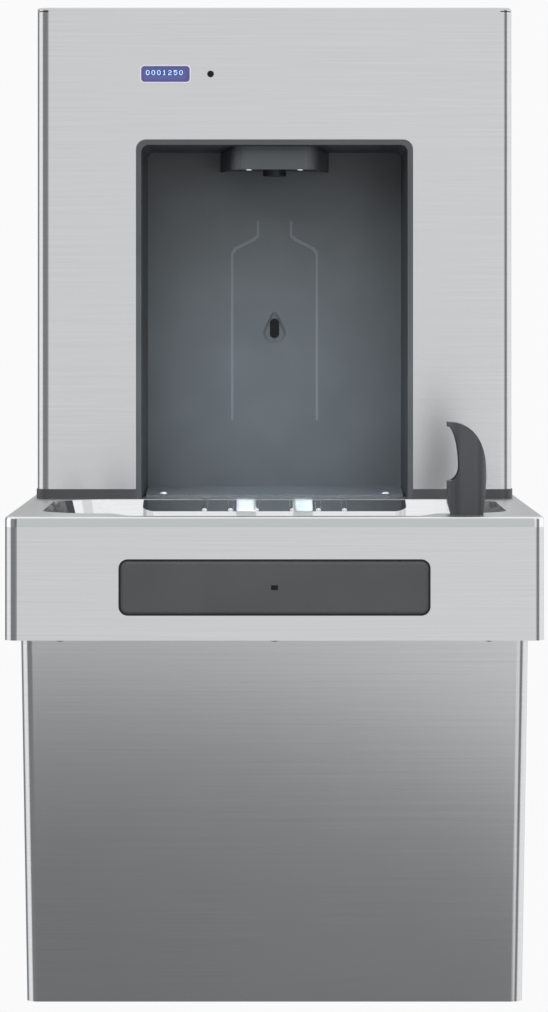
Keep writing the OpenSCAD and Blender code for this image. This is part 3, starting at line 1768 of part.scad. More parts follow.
module filter_head() {
  neck = filter_r * 0.55;
  color(charcoal)
    translate([filter_x, filter_y, filter_top_z - head_h])
      difference() {
        union() {
          cylinder(r = filter_r, h = head_h);
          translate([0, 0, head_h / 2])
            rotate([0, 90, 0])
              cylinder(r = 2 * tube_r, h = 2 * filter_r + 4 * tube_r, center = true);
        }
        rod_up([0, 0, -over], neck + seat_gap, head_h / 2 + over);
      }
}

module filter_cartridge() {
  neck = filter_r * 0.55;
  round = filter_r / 3;
  color([0.90, 0.91, 0.93])
    translate([filter_x, filter_y, cart_top_z - filter_h]) {
      rotate_extrude()
        intersection() {
          union() {
            translate([0, round])
              square([filter_r, filter_h - round]);
            translate([filter_r - round, round])
              circle(round);
            square([filter_r - round, filter_h]);
          }
          square([filter_r, filter_h]);
        }
      cylinder(r = neck, h = filter_h + head_h / 2 - seat_gap);
      for (a = [0 : 30 : 330])
        rotate([0, 0, a])
          rod_up([filter_r, 0, filter_h / 2], steel_t, filter_h / 3);
    }
}

module filter_bracket() {
  arm = filter_r * 1.2;
  rise = head_h + 4 * steel_t;
  color(zinc)
    translate([filter_x, 0, filter_top_z]) {
      translate([-arm / 2, filter_y - filter_r / 2, 0])
        difference() {
          cube([arm, -filter_y + filter_r / 2 - steel_t, steel_t]);
        }
      block([-arm / 2, -2 * steel_t, -rise], [arm, steel_t, rise]);
    }
}

// Water inlet: a stop valve with a strainer and a stub to the wall
stub_r = 4.76;

module inlet_valve() {
  body_r = 2 * stub_r;
  body_y = -6 * stub_r;
  color(brass_c)
    translate([inlet_x, 0, inlet_z]) {
      rod_front([0, -steel_t, 0], stub_r, -body_y);
      translate([0, body_y + stub_r, 0])
        rotate([90, 0, 0])
          cylinder(r = body_r, h = 4 * stub_r, $fn = 6);
      rod_up([0, body_y - stub_r, -3 * body_r], body_r * 0.8, 3 * body_r);
      rod_up([0, body_y - stub_r, 0], stub_r, port_z - inlet_z);
    }
  color(brass_c)
    pipe_run([
      [inlet_x, body_y - stub_r, port_z],
      [inlet_x, filter_y, port_z],
      [filter_x - filter_r - 2 * tube_r - seat_gap, filter_y, port_z]
    ], tube_r);
}

junction_w = 80;
junction_h = 60;
junction_d = 32;

module junction_box() {
  color(zinc)
    translate([gland_x, 0, gland_z])
      difference() {
        between_y(-steel_t, -steel_t - junction_d)
          square([junction_w, junction_h], center = true);
        between_y(0, -junction_d)
          square([junction_w - 2 * steel_t, junction_h - 2 * steel_t], center = true);
      }
}

module cable_gland() {
  color(black)
    translate([gland_x, 0, gland_z])
      rotate([90, 0, 0])
        difference() {
          union() {
            cylinder(r = gland_r, h = junction_d / 2);
            translate([0, 0, steel_t])
              cylinder(r = 1.4 * gland_r, h = junction_d / 4, $fn = 6);
          }
          rod_up([0, 0, -over], gland_bore, junction_d);
        }
}

upper_shell();
upper_cap();
upper_back();
base_trim_left();
base_trim_right();
alcove_liner();
alcove_sill();
sill_screws();
nozzle_hood();
nozzle_plate();
outlet_ring();
led_lenses();
bottle_sensor_window();
sensor_housing();
display_window();
display_board();
indicator_lens();
control_box();
filler_valve();
water_tubes();
basin();
drain_strainer();
drain_tailpiece();
waste_pipe();
bubbler_guard();
bubbler_spout();
bubbler_nut();
fascia();
fascia_screws();
under_pan();
push_bar();
bar_window();
guide_pins();
guide_bushes();
return_springs();
bar_bracket();
switch_body();
switch_plunger();
lower_wrapper();
bottom_panel();
bottom_screws();
chassis();
compressor();
compressor_feet();
terminal_cover();
condenser();
fan_shroud();
fan_motor();
fan_blades();
chiller_tank();
tank_straps();
refrigerant_line();
filter_bracket();
filter_head();
filter_cartridge();
inlet_valve();
junction_box();
cable_gland();
bubbler_valve();
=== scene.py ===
"""Looks of the wall-hung bottle filling station: studio, camera, finishes and small pieces."""

import json
import math

import bmesh
import bpy
from mathutils import Matrix, Vector


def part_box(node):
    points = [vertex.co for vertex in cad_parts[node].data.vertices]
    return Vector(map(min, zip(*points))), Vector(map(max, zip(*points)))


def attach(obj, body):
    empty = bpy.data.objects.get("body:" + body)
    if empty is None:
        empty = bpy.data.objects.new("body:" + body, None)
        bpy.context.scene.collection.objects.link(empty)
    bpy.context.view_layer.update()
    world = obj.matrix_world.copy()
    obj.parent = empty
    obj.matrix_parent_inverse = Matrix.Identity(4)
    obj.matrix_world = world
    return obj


MM = 0.001

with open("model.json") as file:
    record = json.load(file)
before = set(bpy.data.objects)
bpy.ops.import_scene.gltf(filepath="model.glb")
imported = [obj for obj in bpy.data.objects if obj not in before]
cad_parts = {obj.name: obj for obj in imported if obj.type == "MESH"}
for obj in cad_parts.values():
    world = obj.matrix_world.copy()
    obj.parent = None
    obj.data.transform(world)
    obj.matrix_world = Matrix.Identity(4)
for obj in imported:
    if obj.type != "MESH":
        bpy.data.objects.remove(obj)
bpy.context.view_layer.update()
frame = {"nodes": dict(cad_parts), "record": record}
nodes = frame["nodes"]
scene = bpy.context.scene


# Places on the CAD pieces, in mm

# The basin's flat deck starts between these heights
DECK_RISE = (229.3, 229.7)
# The basin's rolled front lies before these depths
ROLLED_FRONT = (-482.9, -482.4)
# The bottle ledge lies behind these depths
LEDGE_START = (-190, -186)
# Middle of the ledge's field between the first and second ribs, and where its worn patch ends
WORN_X = 26.6
WORN_END = (7.8, 9.8)
# Room taken up by the raised outline of a bottle, up to its open mouth, where the liner gets a painted
# highlight
BOTTLE_LINE_HIGHLIGHT = {"X": (-46, 46), "Y": (-30.4, -29.3), "Z": (270, 497)}
# The push bar's carrier, behind its cover, painted near black as the shade in the gap
BAR_GAP_SHADE = {"Y": (-482.4, -300)}
# Backlit panel behind the counter window and its brighter field, from the window's middle
LIT_PANEL = {"X": (-21, 19.5), "Z": (-6, 5.6)}
LIT_FIELD = {"X": (-20, 18.5), "Z": (-2.6, 5.4)}
# The two lights in the hood's underside
HOOD_LIGHT_X = 24.75
HOOD_LIGHT_Y = -75
HOOD_LIGHT_Z = 541
HOOD_LIGHT_R = 4


def middle_of(node):
    """Middle of a CAD piece, in metres."""
    low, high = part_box(node)
    return [(low[axis] + high[axis]) / 2 for axis in range(3)]


# Colours and nodes


def linear(hex_code):
    """The linear colour of an sRGB hex value."""
    parts = [int(hex_code[i : i + 2], 16) / 255 for i in (1, 3, 5)]
    curve = [c / 12.92 if c <= 0.04045 else ((c + 0.055) / 1.055) ** 2.4 for c in parts]
    return (*curve, 1)


def grey(level):
    """A grey of this linear level."""
    return (level, level, level, 1)


def add(tree, kind, settings=None, links=None):
    """Adds a node, gives its properties and sockets their values, and links its inputs."""
    node = tree.nodes.new(kind)
    for key, value in (settings or {}).items():
        if isinstance(key, str) and hasattr(node, key):
            setattr(node, key, value)
        else:
            node.inputs[key].default_value = value
    for key, source in (links or {}).items():
        tree.links.new(source, node.inputs[key])
    return node


def calc(tree, operation, first, second=None):
    """One operation on a linked value, and on a second value that is a link or a number."""
    settings = {"operation": operation}
    links = {0: first}
    if isinstance(second, (int, float)):
        settings[1] = second
    elif second is not None:
        links[1] = second
    return add(tree, "ShaderNodeMath", settings, links).outputs[0]


def spread(tree, source, low, high, from_low=0.3, from_high=0.7):
    """Maps a value to a range; a noise's own values lie mostly between the defaults."""
    settings = {"From Min": from_low, "From Max": from_high, "To Min": low, "To Max": high}
    return add(tree, "ShaderNodeMapRange", settings, {"Value": source}).outputs["Result"]


def between(tree, source, low, high, levels):
    """Goes from low to high while a coordinate goes from one level to the other, in mm."""
    return spread(tree, source, low, high, levels[0] * MM, levels[1] * MM)


def mix_colours(tree, factor, first, second):
    """Goes from the first colour to the second; each is a link or an sRGB hex value."""
    settings = {"data_type": "RGBA", "blend_type": "MIX"}
    links = {0: factor}
    for socket, colour in ((6, first), (7, second)):
        if isinstance(colour, str):
            settings[socket] = linear(colour)
        else:
            links[socket] = colour
    return add(tree, "ShaderNodeMix", settings, links).outputs[2]


def mix_shaders(tree, factor, first, second):
    """Goes from the first shader to the second."""
    links = {0: factor, 1: first, 2: second}
    return add(tree, "ShaderNodeMixShader", None, links).outputs[0]


def place_of(tree, output="Object"):
    """Where the shaded point lies, in metres, or which way the world is looked at."""
    return add(tree, "ShaderNodeTexCoord").outputs[output]


def axes_of(tree, place):
    """The X, Y and Z of a place."""
    return add(tree, "ShaderNodeSeparateXYZ", None, {0: place}).outputs


def pattern(tree, size_mm, detail=2.0, stretch=(1, 1, 1)):
    """A noise whose cells measure size_mm, stretched by the factors along x, y and z."""
    settings = {"Scale": [1 / (size_mm * MM * factor) for factor in stretch]}
    place = add(tree, "ShaderNodeMapping", settings, {"Vector": place_of(tree)})
    settings = {"Scale": 1.0, "Detail": detail}
    links = {"Vector": place.outputs["Vector"]}
    return add(tree, "ShaderNodeTexNoise", settings, links).outputs[0]


def cells(tree, size_mm, feature="F1"):
    """Irregular cells that measure size_mm."""
    settings = {"Scale": [1 / (size_mm * MM)] * 3}
    place = add(tree, "ShaderNodeMapping", settings, {"Vector": place_of(tree)})
    settings = {"feature": feature, "Scale": 1.0}
    return add(tree, "ShaderNodeTexVoronoi", settings, {"Vector": place.outputs["Vector"]}).outputs


def tint(tree, source, dark, light):
    """Turns a pattern's value into a colour between two tones."""
    return mix_colours(tree, spread(tree, source, 0, 1), dark, light)


def relief(tree, shader, source, height_mm, strength):
    """Lets a pattern raise the surface by height_mm."""
    settings = {"Strength": strength, "Distance": height_mm * MM}
    bump = add(tree, "ShaderNodeBump", settings, {"Height": source})
    tree.links.new(bump.outputs["Normal"], shader.inputs["Normal"])


def soft_box(tree, levels, edge_mm, centre=(0, 0, 0)):
    """One inside a box, falling to nothing over edge_mm. Levels are {axis: (low, high)} in mm
    from the centre, which is in metres."""
    at = axes_of(tree, place_of(tree))
    inside = None
    for axis, (low, high) in levels.items():
        middle = centre["XYZ".index(axis)] + (low + high) / 2 * MM
        half = (high - low) / 2
        far = calc(tree, "ABSOLUTE", calc(tree, "SUBTRACT", at[axis], middle))
        part = between(tree, far, 1, 0, (half - edge_mm, half))
        inside = part if inside is None else calc(tree, "MULTIPLY", inside, part)
    return inside


def new_finish(name, colour, roughness, metallic=0.0, sockets=None):
    """A material with its shader set for one finish; returns material, tree and shader."""
    finish = bpy.data.materials.new(name)
    finish.use_nodes = True
    tree = finish.node_tree
    shader = tree.nodes["Principled BSDF"]
    shader.inputs["Base Color"].default_value = linear(colour)
    shader.inputs["Roughness"].default_value = roughness
    shader.inputs["Metallic"].default_value = metallic
    for key, value in (sockets or {}).items():
        shader.inputs[key].default_value = value
    return finish, tree, shader


def zone_colour(finish, colour, levels, edge_mm, centre=(0, 0, 0)):
    """Lays a colour over what a finish has, inside a soft-edged box."""
    tree = finish.node_tree
    base = tree.nodes["Principled BSDF"].inputs["Base Color"]
    had = base.links[0].from_socket
    inside = soft_box(tree, levels, edge_mm, centre)
    tree.links.new(mix_colours(tree, inside, had, colour), base)


# Finishes of metal


def brushed_stainless(name, stretch, along):
    """Type 304 sheet with a number 4 finish: fine grooves that smear reflections across them.
    Grooves are about 0.1 mm wide; they are drawn 0.5 mm wide so that they show."""
    roughness = 0.22
    sockets = {"Anisotropic": 0.6, "Anisotropic Rotation": 0.25}
    finish, tree, shader = new_finish(name, "#D1D2D4", roughness, 1.0, sockets)
    grooves = pattern(tree, size_mm=0.5, stretch=stretch)
    base = tint(tree, grooves, dark="#CACBCD", light="#D1D2D4")
    tree.links.new(base, shader.inputs["Base Color"])
    cloud = pattern(tree, size_mm=60)
    wear = spread(tree, cloud, roughness - 0.003, roughness + 0.005)
    tree.links.new(wear, shader.inputs["Roughness"])
    tangent = add(tree, "ShaderNodeTangent", {"direction_type": "RADIAL", "axis": along})
    tree.links.new(tangent.outputs["Tangent"], shader.inputs["Tangent"])
    relief(tree, shader, grooves, height_mm=0.004, strength=0.5)
    return finish


def polished_stainless():
    """Pressed 304 buffed bright after drawing: the bowl mirrors its surroundings with a waver,
    the flat deck is scoured to a satin, and the rolled front is brushed like the fascia.
    Between the first and second ribs, under the two lights, bottles have worn the ledge dull."""
    mirror, satin, buffed, dulled = 0.1, 0.34, 0.17, 0.6
    finish, tree, shader = new_finish("polished_stainless", "#EBECED", mirror, 1.0)
    at = axes_of(tree, place_of(tree))
    grooves = pattern(tree, size_mm=0.6, stretch=(120, 1, 1))
    bright = tint(tree, grooves, dark="#E7E8E9", light="#EFF0F1")
    front = between(tree, at["Y"], 1, 0, ROLLED_FRONT)
    tree.links.new(mix_colours(tree, front, bright, "#BDC1C2"), shader.inputs["Base Color"])
    deck = between(tree, at["Z"], mirror, satin, DECK_RISE)
    ledge = between(tree, at["Y"], 0, 1, LEDGE_START)
    off = calc(tree, "SUBTRACT", calc(tree, "ABSOLUTE", at["X"]), WORN_X * MM)
    worn = between(tree, calc(tree, "ABSOLUTE", off), dulled, buffed, WORN_END)
    scoured = calc(tree, "MULTIPLY", ledge, worn)
    tree.links.new(calc(tree, "MAXIMUM", scoured, deck), shader.inputs["Roughness"])
    waver = pattern(tree, size_mm=35, detail=1.0)
    relief(tree, shader, waver, height_mm=0.15, strength=0.6)
    return finish


def galvanised_steel():
    """Hot-dip galvanised sheet: dull grey zinc with spangles about 7 mm across."""
    finish, tree, shader = new_finish("galvanised_steel", "#A9AEB2", 0.42, 1.0)
    spangle = cells(tree, size_mm=7)["Color"]
    base = tint(tree, spangle, dark="#9CA2A7", light="#B7BBBE")
    tree.links.new(base, shader.inputs["Base Color"])
    tree.links.new(spread(tree, spangle, 0.36, 0.52), shader.inputs["Roughness"])
    return finish


def machined_metal(name, dark, light, roughness):
    """Turned or drawn metal: fine marks that run along the piece."""
    finish, tree, shader = new_finish(name, light, roughness, 1.0)
    marks = pattern(tree, size_mm=0.4, stretch=(1, 1, 30))
    tree.links.new(tint(tree, marks, dark, light), shader.inputs["Base Color"])
    rough = spread(tree, marks, roughness - 0.05, roughness + 0.08)
    tree.links.new(rough, shader.inputs["Roughness"])
    return finish


# Finishes of plastic, rubber and enamel


def moulded_plastic(name, colour, light, roughness, grain_mm=0.8, height_mm=0.02, sockets=None):
    """Injection-moulded thermoplastic: a spark-eroded grain breaks its reflections up."""
    finish, tree, shader = new_finish(name, colour, roughness, 0.0, sockets)
    flow = pattern(tree, size_mm=45, detail=1.0)
    tree.links.new(tint(tree, flow, colour, light), shader.inputs["Base Color"])
    grain = pattern(tree, size_mm=grain_mm)
    rough = spread(tree, grain, roughness - 0.05, roughness + 0.06)
    tree.links.new(rough, shader.inputs["Roughness"])
    relief(tree, shader, grain, height_mm, strength=0.6)
    return finish


def counter_window():
    """Violet acrylic window; the backlit panel behind it shows as a bluer field."""
    centre = middle_of("display_window")
    finish = moulded_plastic("violet_acrylic", "#454276", "#4A477C", 0.12, 3, 0.002)
    zone_colour(finish, "#4C4F8A", LIT_PANEL, 1.5, centre)
    zone_colour(finish, "#2F4A8C", LIT_FIELD, 2, centre)
    return finish


def liner_plastic():
    """The alcove's charcoal ABS; the raised outline of a bottle on its back is painted paler, as a
    painted highlight on the ridge.
    """
    finish = moulded_plastic("moulded_alcove_abs", "#3F4346", "#44484B", 0.45)
    # Painted highlight: the bottle outline's ridge is painted a paler grey
    zone_colour(finish, "#54595D", BOTTLE_LINE_HIGHLIGHT, 0.1)
    return finish


def bar_plastic():
    """The bar's charcoal cover; its carrier behind the fascia's face is painted near black, as painted
    shade in the gap round the bar.
    """
    finish = moulded_plastic("moulded_bar_abs", "#3A3B3D", "#3E3F41", 0.42)
    # Painted shade: everything on the bar behind the fascia's face is near black
    zone_colour(finish, "#050506", BAR_GAP_SHADE, 0.2)
    return finish


def circuit_board():
    """Green solder resist over a net of copper tracks."""
    finish, tree, shader = new_finish("solder_resist", "#1F5A34", 0.35)
    tracks = cells(tree, size_mm=3, feature="DISTANCE_TO_EDGE")["Distance"]
    near = spread(tree, tracks, 1, 0, 0.04, 0.1)
    base = mix_colours(tree, near, "#1B4F2E", "#3B7E4C")
    tree.links.new(base, shader.inputs["Base Color"])
    return finish


def glowing(name, colour, strength):
    """A lit plastic surface, such as a display dot or a lamp's lens."""
    sockets = {"Emission Color": linear(colour), "Emission Strength": strength}
    finish, tree, shader = new_finish(name, colour, 0.3, 0.0, sockets)
    haze = pattern(tree, size_mm=1.5, detail=1.0)
    tree.links.new(tint(tree, haze, colour, "#FFFFFF"), shader.inputs["Base Color"])
    return finish


# An antireflective coat, as on windows that a sensor looks through
FAINT_GLOSS = {"Specular IOR Level": 0.2}

finishes = {
    # The grooves are level on the upright sheets and run from side to side on the cap
    "stainless": brushed_stainless("brushed_stainless", (300, 300, 1), "Z"),
    "cap": brushed_stainless("brushed_cap", (300, 1, 300), "Y"),
    "polished": polished_stainless(),
    "galvanised": galvanised_steel(),
    "brass": machined_metal("turned_brass", "#A9853F", "#C6A257", 0.28),
    "copper": machined_metal("drawn_copper", "#B4714E", "#C98562", 0.3),
    "bright": machined_metal("bright_steel", "#C4C5C7", "#D8D9DA", 0.2),
    "aluminium_fin": machined_metal("rolled_aluminium", "#C2C5C8", "#D3D5D7", 0.3),
    # Coloured right through, with a fine grain
    "trim": moulded_plastic("moulded_trim_abs", "#39393B", "#3E3E40", 0.42),
    "charcoal": moulded_plastic("charcoal_abs", "#3F4346", "#44484B", 0.45),
    "liner": liner_plastic(),
    # The sill is the liner's plastic painted paler: painted light where it faces up to the hood's lights
    "sill": moulded_plastic("alcove_abs_painted_light", "#54595D", "#595E62", 0.4),
    "bar": bar_plastic(),
    "guard": moulded_plastic("moulded_guard_nylon", "#333437", "#37383B", 0.4),
    "black_plastic": moulded_plastic("black_nylon", "#17181A", "#1F2022", 0.45),
    "white_plastic": moulded_plastic("white_polypropylene", "#DDDEDC", "#E6E6E4", 0.4),
    "red_plastic": moulded_plastic("red_acetal", "#A3211B", "#B02C22", 0.3),
    "clear_tube": moulded_plastic("polyethylene_tube", "#C7D3E0", "#D6E0EA", 0.3),
    # Windows, lenses and the board
    "light_lens": glowing("frosted_lens", "#F4F8FF", 1.2),
    "dark_lens": moulded_plastic("black_acrylic", "#050607", "#0A0B0D", 0.2, 3, 0.002, FAINT_GLOSS),
    "display": counter_window(),
    "board": circuit_board(),
    # Coats: pale zinc flake, enamel with some orange peel, rubber and open foam
    "dull_screw": moulded_plastic("zinc_flake_coat", "#D9DADB", "#E8E8E9", 0.35, 0.3, 0.005),
    "black_paint": moulded_plastic("gloss_black_enamel", "#0D0E10", "#141518", 0.18, 2.5, 0.03),
    "rubber_black": moulded_plastic("black_rubber", "#1B1B1C", "#252526", 0.7, 1.2, 0.04),
    "insulation": moulded_plastic("nitrile_foam", "#232425", "#2E2F31", 0.85, 2.5, 0.25),
}

# Each piece has its material's finish, except those with one of their own
finish_of = {part["node"]: part["material_slot"] for part in frame["record"]["subparts"]}
finish_of["upper_cap"] = "cap"
finish_of["sill_screws"] = "dull_screw"
finish_of["alcove_liner"] = "liner"
finish_of["alcove_sill"] = "sill"
for name, node in nodes.items():
    node.data.materials.clear()
    node.data.materials.append(finishes[finish_of[name]])


# Studio, in metres

# What metal mirrors: bearings from the camera's side, positive to the right, and brightness
STUDIO_ZONES = (
    (-180, 0.4), (-150, 0.3), (-122, 0.26), (-108, 1.2), (-68, 1.2), (-61, 0.26),
    (-14, 0.3), (-9, 0.98), (9, 0.98), (40, 1.0), (49, 0.26), (70, 0.26),
    (78, 1.15), (140, 1.15), (165, 0.5), (180, 0.4),
)
# Rise of the view over which the mirrored studio turns plain white
CEILING_RISE = (0.35, 0.6)
PLAIN_LIGHT = 0.55
# The backdrop's tone, which the floor takes on further out
BACKDROP = grey(0.956)

FLOOR_CENTRE = (0, -0.3, -0.67)
FLOOR_RADIUS = 6
FLOOR_FADE = (1.2, 2.6)
# The unit's own shade on the floor, as the metal mirrors it: an oval, cut off at both sides
SHADE_CENTRE = (-0.26, -0.17)
SHADE_HALF = (0.95, 1.15)
SHADE_EDGE = (0.96, 1.1)
SHADE_SIDE = (0.36, 0.5)
SHADE_LEVEL = 0.24

CAMERA_PLACE = (0, -4.003, 0.4)
CAMERA_LENS_MM = 144.96
CAMERA_SENSOR_MM = 36
CAMERA_SHIFT = (-0.0005, -0.1838)

COOL_WHITE = (0.78, 0.89, 1.0)
PALE_BLUE = (0.85, 0.93, 1.0)
ALL_ROUND = 180


def mirrored_studio(tree):
    """Soft boxes and flags round the object, which only metal and glass see."""
    aim = axes_of(tree, place_of(tree, "Generated"))
    bearing = calc(tree, "ARCTAN2", aim["X"], calc(tree, "MULTIPLY", aim["Y"], -1.0))
    share = spread(tree, bearing, 0, 1, -math.pi, math.pi)
    zones = add(tree, "ShaderNodeValToRGB", None, {0: share})
    ramp = zones.color_ramp
    while len(ramp.elements) < len(STUDIO_ZONES):
        ramp.elements.new(0.5)
    for element, (degrees, level) in zip(ramp.elements, STUDIO_ZONES):
        element.position = (degrees + 180) / 360
        element.color = grey(level)
    high = spread(tree, aim["Z"], 0, 1, *CEILING_RISE)
    around = mix_colours(tree, high, zones.outputs[0], "#FFFFFF")
    return add(tree, "ShaderNodeBackground", {1: 1.0}, {0: around}).outputs[0]


def set_world():
    """White to the camera; metal sees the studio's soft boxes and flags; the rest is plain light."""
    world = bpy.data.worlds.new("studio")
    world.use_nodes = True
    scene.world = world
    tree = world.node_tree
    tree.nodes.clear()
    path = add(tree, "ShaderNodeLightPath").outputs
    plain = add(tree, "ShaderNodeBackground", {0: grey(1), 1: PLAIN_LIGHT}).outputs[0]
    white = add(tree, "ShaderNodeBackground", {0: BACKDROP, 1: 1.0}).outputs[0]
    clear = calc(tree, "MAXIMUM", path["Is Glossy Ray"], path["Is Transmission Ray"])
    unseen = mix_shaders(tree, clear, plain, mirrored_studio(tree))
    shown = mix_shaders(tree, path["Is Camera Ray"], unseen, white)
    add(tree, "ShaderNodeOutputWorld", None, {"Surface": shown})


def floor_distance(tree, centre, half):
    """How far a place on the floor is from a centre, as a share of the oval's half widths."""
    settings = {
        "Location": (-centre[0] / half[0], -centre[1] / half[1], -FLOOR_CENTRE[2]),
        "Scale": (1 / half[0], 1 / half[1], 1),
    }
    turned = add(tree, "ShaderNodeMapping", settings, {0: place_of(tree)})
    settings = {"operation": "LENGTH"}
    out = add(tree, "ShaderNodeVectorMath", settings, {0: turned.outputs[0]})
    return out.outputs["Value"]


def floor_finish():
    """Pale paper that turns as white as the backdrop further out. In the metal it is
    the studio's white, with the unit's own shade before its foot."""
    finish = bpy.data.materials.new("pale_floor")
    finish.use_nodes = True
    tree = finish.node_tree
    tree.nodes.clear()
    path = add(tree, "ShaderNodeLightPath").outputs
    rim = spread(tree, floor_distance(tree, FLOOR_CENTRE, (1, 1)), 0, 1, *FLOOR_FADE)
    far = calc(tree, "MULTIPLY", rim, path["Is Camera Ray"])
    paper = add(tree, "ShaderNodeBsdfDiffuse", {0: linear("#E9E9E8")}).outputs[0]
    white = add(tree, "ShaderNodeEmission", {0: BACKDROP, 1: 1.0}).outputs[0]
    seen = mix_shaders(tree, far, paper, white)
    oval = spread(tree, floor_distance(tree, SHADE_CENTRE, SHADE_HALF), 1, 0, *SHADE_EDGE)
    side = calc(tree, "ABSOLUTE", axes_of(tree, place_of(tree))["X"])
    depth = calc(tree, "MULTIPLY", oval, spread(tree, side, 1, 0, *SHADE_SIDE))
    clear = add(tree, "ShaderNodeBsdfTransparent").outputs[0]
    dark = add(tree, "ShaderNodeEmission", {0: grey(SHADE_LEVEL), 1: 1.0}).outputs[0]
    mirrored = mix_shaders(tree, depth, clear, dark)
    both = mix_shaders(tree, path["Is Glossy Ray"], seen, mirrored)
    add(tree, "ShaderNodeOutputMaterial", None, {"Surface": both})
    return finish


def set_floor():
    """A round pale floor that keeps the object's shadow."""
    bm = bmesh.new()
    bmesh.ops.create_circle(bm, cap_ends=True, segments=96, radius=FLOOR_RADIUS)
    bmesh.ops.translate(bm, verts=bm.verts, vec=FLOOR_CENTRE)
    mesh = bpy.data.meshes.new("floor")
    bm.to_mesh(mesh)
    bm.free()
    mesh.materials.append(floor_finish())
    floor = bpy.data.objects.new("floor", mesh)
    scene.collection.objects.link(floor)


def set_camera():
    """Looks level at the front, as the photograph does, with the frame moved down by the shift."""
    camera = bpy.data.cameras.new("camera")
    camera.lens = CAMERA_LENS_MM
    camera.sensor_width = CAMERA_SENSOR_MM
    camera.shift_x, camera.shift_y = CAMERA_SHIFT
    holder = bpy.data.objects.new("camera", camera)
    holder.location = CAMERA_PLACE
    holder.rotation_euler = (math.radians(90), 0, 0)
    scene.collection.objects.link(holder)
    scene.camera = holder


def hang(name, lamp, place, target, mirrored):
    """Puts a lamp in its place and aims it; metal shows it only where it is mirrored."""
    holder = bpy.data.objects.new(name, lamp)
    holder.location = place
    holder.rotation_euler = (Vector(target) - Vector(place)).to_track_quat("-Z", "Y").to_euler()
    holder.visible_glossy = mirrored
    scene.collection.objects.link(holder)
    return holder


def set_lamp(name, place, target, size, power, opening=ALL_ROUND, colour=(1, 1, 1)):
    """A soft lamp that lights the object but doesn't stand in its reflections."""
    lamp = bpy.data.lights.new(name, "AREA")
    lamp.shape = "RECTANGLE"
    lamp.size, lamp.size_y = size
    lamp.energy = power
    lamp.spread = math.radians(opening)
    lamp.color = colour
    hang(name, lamp, place, target, mirrored=False).visible_camera = False


def set_spot(name, place, target, opening, power, blend, mirrored):
    """One of the two cool lights under the hood, or the bright core of its beam."""
    lamp = bpy.data.lights.new(name, "SPOT")
    lamp.energy = power
    lamp.color = COOL_WHITE
    lamp.spot_size = math.radians(opening)
    lamp.spot_blend = blend
    lamp.shadow_soft_size = HOOD_LIGHT_R * MM
    hang(name, lamp, place, target, mirrored)


def set_hood_light(side):
    """A light under the hood: a wide cone down the alcove, and its core on the bottle ledge."""
    lens = (side * HOOD_LIGHT_X * MM, HOOD_LIGHT_Y * MM, HOOD_LIGHT_Z * MM)
    sill = (side * 0.03, -0.13, 0.23)
    ledge = (side * WORN_X * MM, -0.162, 0.225)
    set_spot("hood_light", lens, sill, opening=66, power=1.6, blend=1.0, mirrored=False)
    set_spot("hood_beam", lens, ledge, opening=10, power=3.0, blend=0.6, mirrored=True)


set_world()
set_floor()
set_camera()
set_lamp("key", place=(-1.2, -3.0, 2.6), target=(0, -0.2, 0.3), size=(2.6, 2.0), power=75)
set_lamp("fill", place=(1.8, -3.2, 0.6), target=(0, -0.2, 0.2), size=(2.0, 2.0), power=28)
set_lamp("top", place=(0.2, -0.4, 2.8), target=(0, -0.2, 0.2), size=(2.4, 2.4), power=30)
set_lamp("rear", place=(0.6, 3.0, 1.4), target=(0, 0, 0.2), size=(2.6, 2.0), power=40)
# A narrow beam into the alcove
set_lamp("low", (0, -1.5, 0.34), (0, 0, 0.33), (0.2, 0.12), 0.25, opening=16, colour=PALE_BLUE)
for side in (-1, 1):
    set_hood_light(side)
scene.view_settings.view_transform = "Standard"


# Small pieces

# Figures of a generic count, each as rows of lit and dark dots
COUNT = "0001250"
DIGITS = {
    "0": ("01110", "10001", "10001", "10001", "10001", "10001", "01110"),
    "1": ("00100", "01100", "00100", "00100", "00100", "00100", "01110"),
    "2": ("01110", "10001", "00001", "00110", "01000", "10000", "11111"),
    "5": ("11111", "10000", "11110", "00001", "00001", "10001", "01110"),
}
DOT_PITCH = 0.66 * MM
DOT_SIZE = 0.56 * MM
DOT_DEPTH = 0.1 * MM
# How far a dot's middle stands before the window
DOT_PROUD = 0.03 * MM
FIGURE_STEP = 5.27 * MM
# The count's middle, from the window's
COUNT_X = -1.0 * MM
COUNT_Z = 1.3 * MM

LIP_SIZE = (46.1 * MM, 15.0 * MM)
LIP_RADIUS = 3.15 * MM
LIP_WIDTH = 1.0 * MM
# From the window's front to the lip's back and front
LIP_BACK = 0.25 * MM
LIP_FRONT = -0.2 * MM


def settle(name, bm, finish):
    """Turns a mesh in the making into a finished piece that stays with the housing."""
    mesh = bpy.data.meshes.new(name)
    bmesh.ops.recalc_face_normals(bm, faces=bm.faces)
    bm.to_mesh(mesh)
    bm.free()
    mesh.materials.append(finish)
    piece = bpy.data.objects.new(name, mesh)
    scene.collection.objects.link(piece)
    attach(piece, "housing")


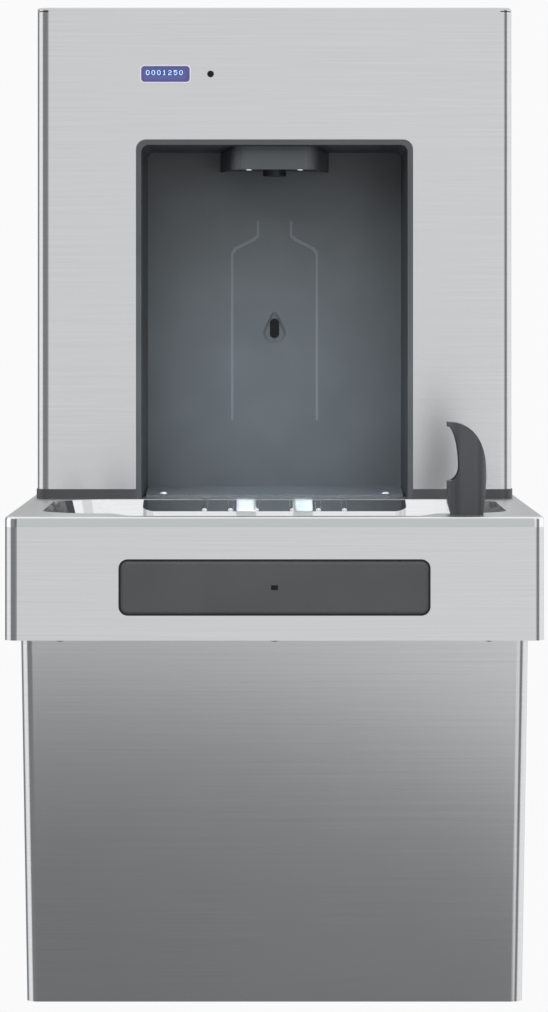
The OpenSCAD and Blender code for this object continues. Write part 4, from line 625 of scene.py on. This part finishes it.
def counter_digits():
    """Dot-matrix figures of the bottle counter, as raised lit dots on the window."""
    window_x, _, window_z = middle_of("display_window")
    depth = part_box("display_window")[0].y - DOT_PROUD
    columns = len(DIGITS["0"][0])
    rows = len(DIGITS["0"])
    dot = Matrix.Diagonal((DOT_SIZE, DOT_DEPTH, DOT_SIZE, 1))
    bm = bmesh.new()
    for place, figure in enumerate(COUNT):
        middle_x = window_x + COUNT_X + (place - (len(COUNT) - 1) / 2) * FIGURE_STEP
        for row, dots in enumerate(DIGITS[figure]):
            z = window_z + COUNT_Z + ((rows - 1) / 2 - row) * DOT_PITCH
            for column, lit in enumerate(dots):
                if lit == "1":
                    x = middle_x + (column - (columns - 1) / 2) * DOT_PITCH
                    at = Matrix.Translation((x, depth, z))
                    bmesh.ops.create_cube(bm, size=1, matrix=at @ dot)
    settle("counter_digits", bm, glowing("lit_display_dot", "#A5C4F4", 0.6))


def window_gasket():
    """Clear lip moulded round the counter window: a pale line between window and steel."""
    window_x, _, window_z = middle_of("display_window")
    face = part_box("display_window")[0].y
    width, height = (size + 2 * LIP_WIDTH for size in LIP_SIZE)
    place = Matrix.Translation((window_x, face + LIP_FRONT, window_z))
    upright = Matrix.Rotation(math.radians(90), 4, "X")
    shape = Matrix.Diagonal((width, height, 1, 1))
    bm = bmesh.new()
    bmesh.ops.create_grid(bm, x_segments=1, y_segments=1, size=0.5, matrix=place @ upright @ shape)
    bmesh.ops.bevel(
        bm, geom=bm.verts[:], affect="VERTICES", offset=LIP_RADIUS + LIP_WIDTH,
        offset_type="OFFSET", segments=8, profile=0.5, material=-1,
    )
    inside = bm.faces[:]
    bmesh.ops.inset_region(bm, faces=inside, thickness=LIP_WIDTH, use_boundary=True, use_even_offset=True)
    bmesh.ops.delete(bm, geom=inside, context="FACES")
    grown = bmesh.ops.extrude_face_region(bm, geom=bm.faces[:])["geom"]
    moved = [part for part in grown if isinstance(part, bmesh.types.BMVert)]
    bmesh.ops.translate(bm, verts=moved, vec=(0, LIP_BACK - LIP_FRONT, 0))
    finish = moulded_plastic("clear_lip_pmma", "#BFC1D2", "#C6C8D8", 0.15, 3, 0.002)
    settle("window_gasket", bm, finish)


counter_digits()
window_gasket()
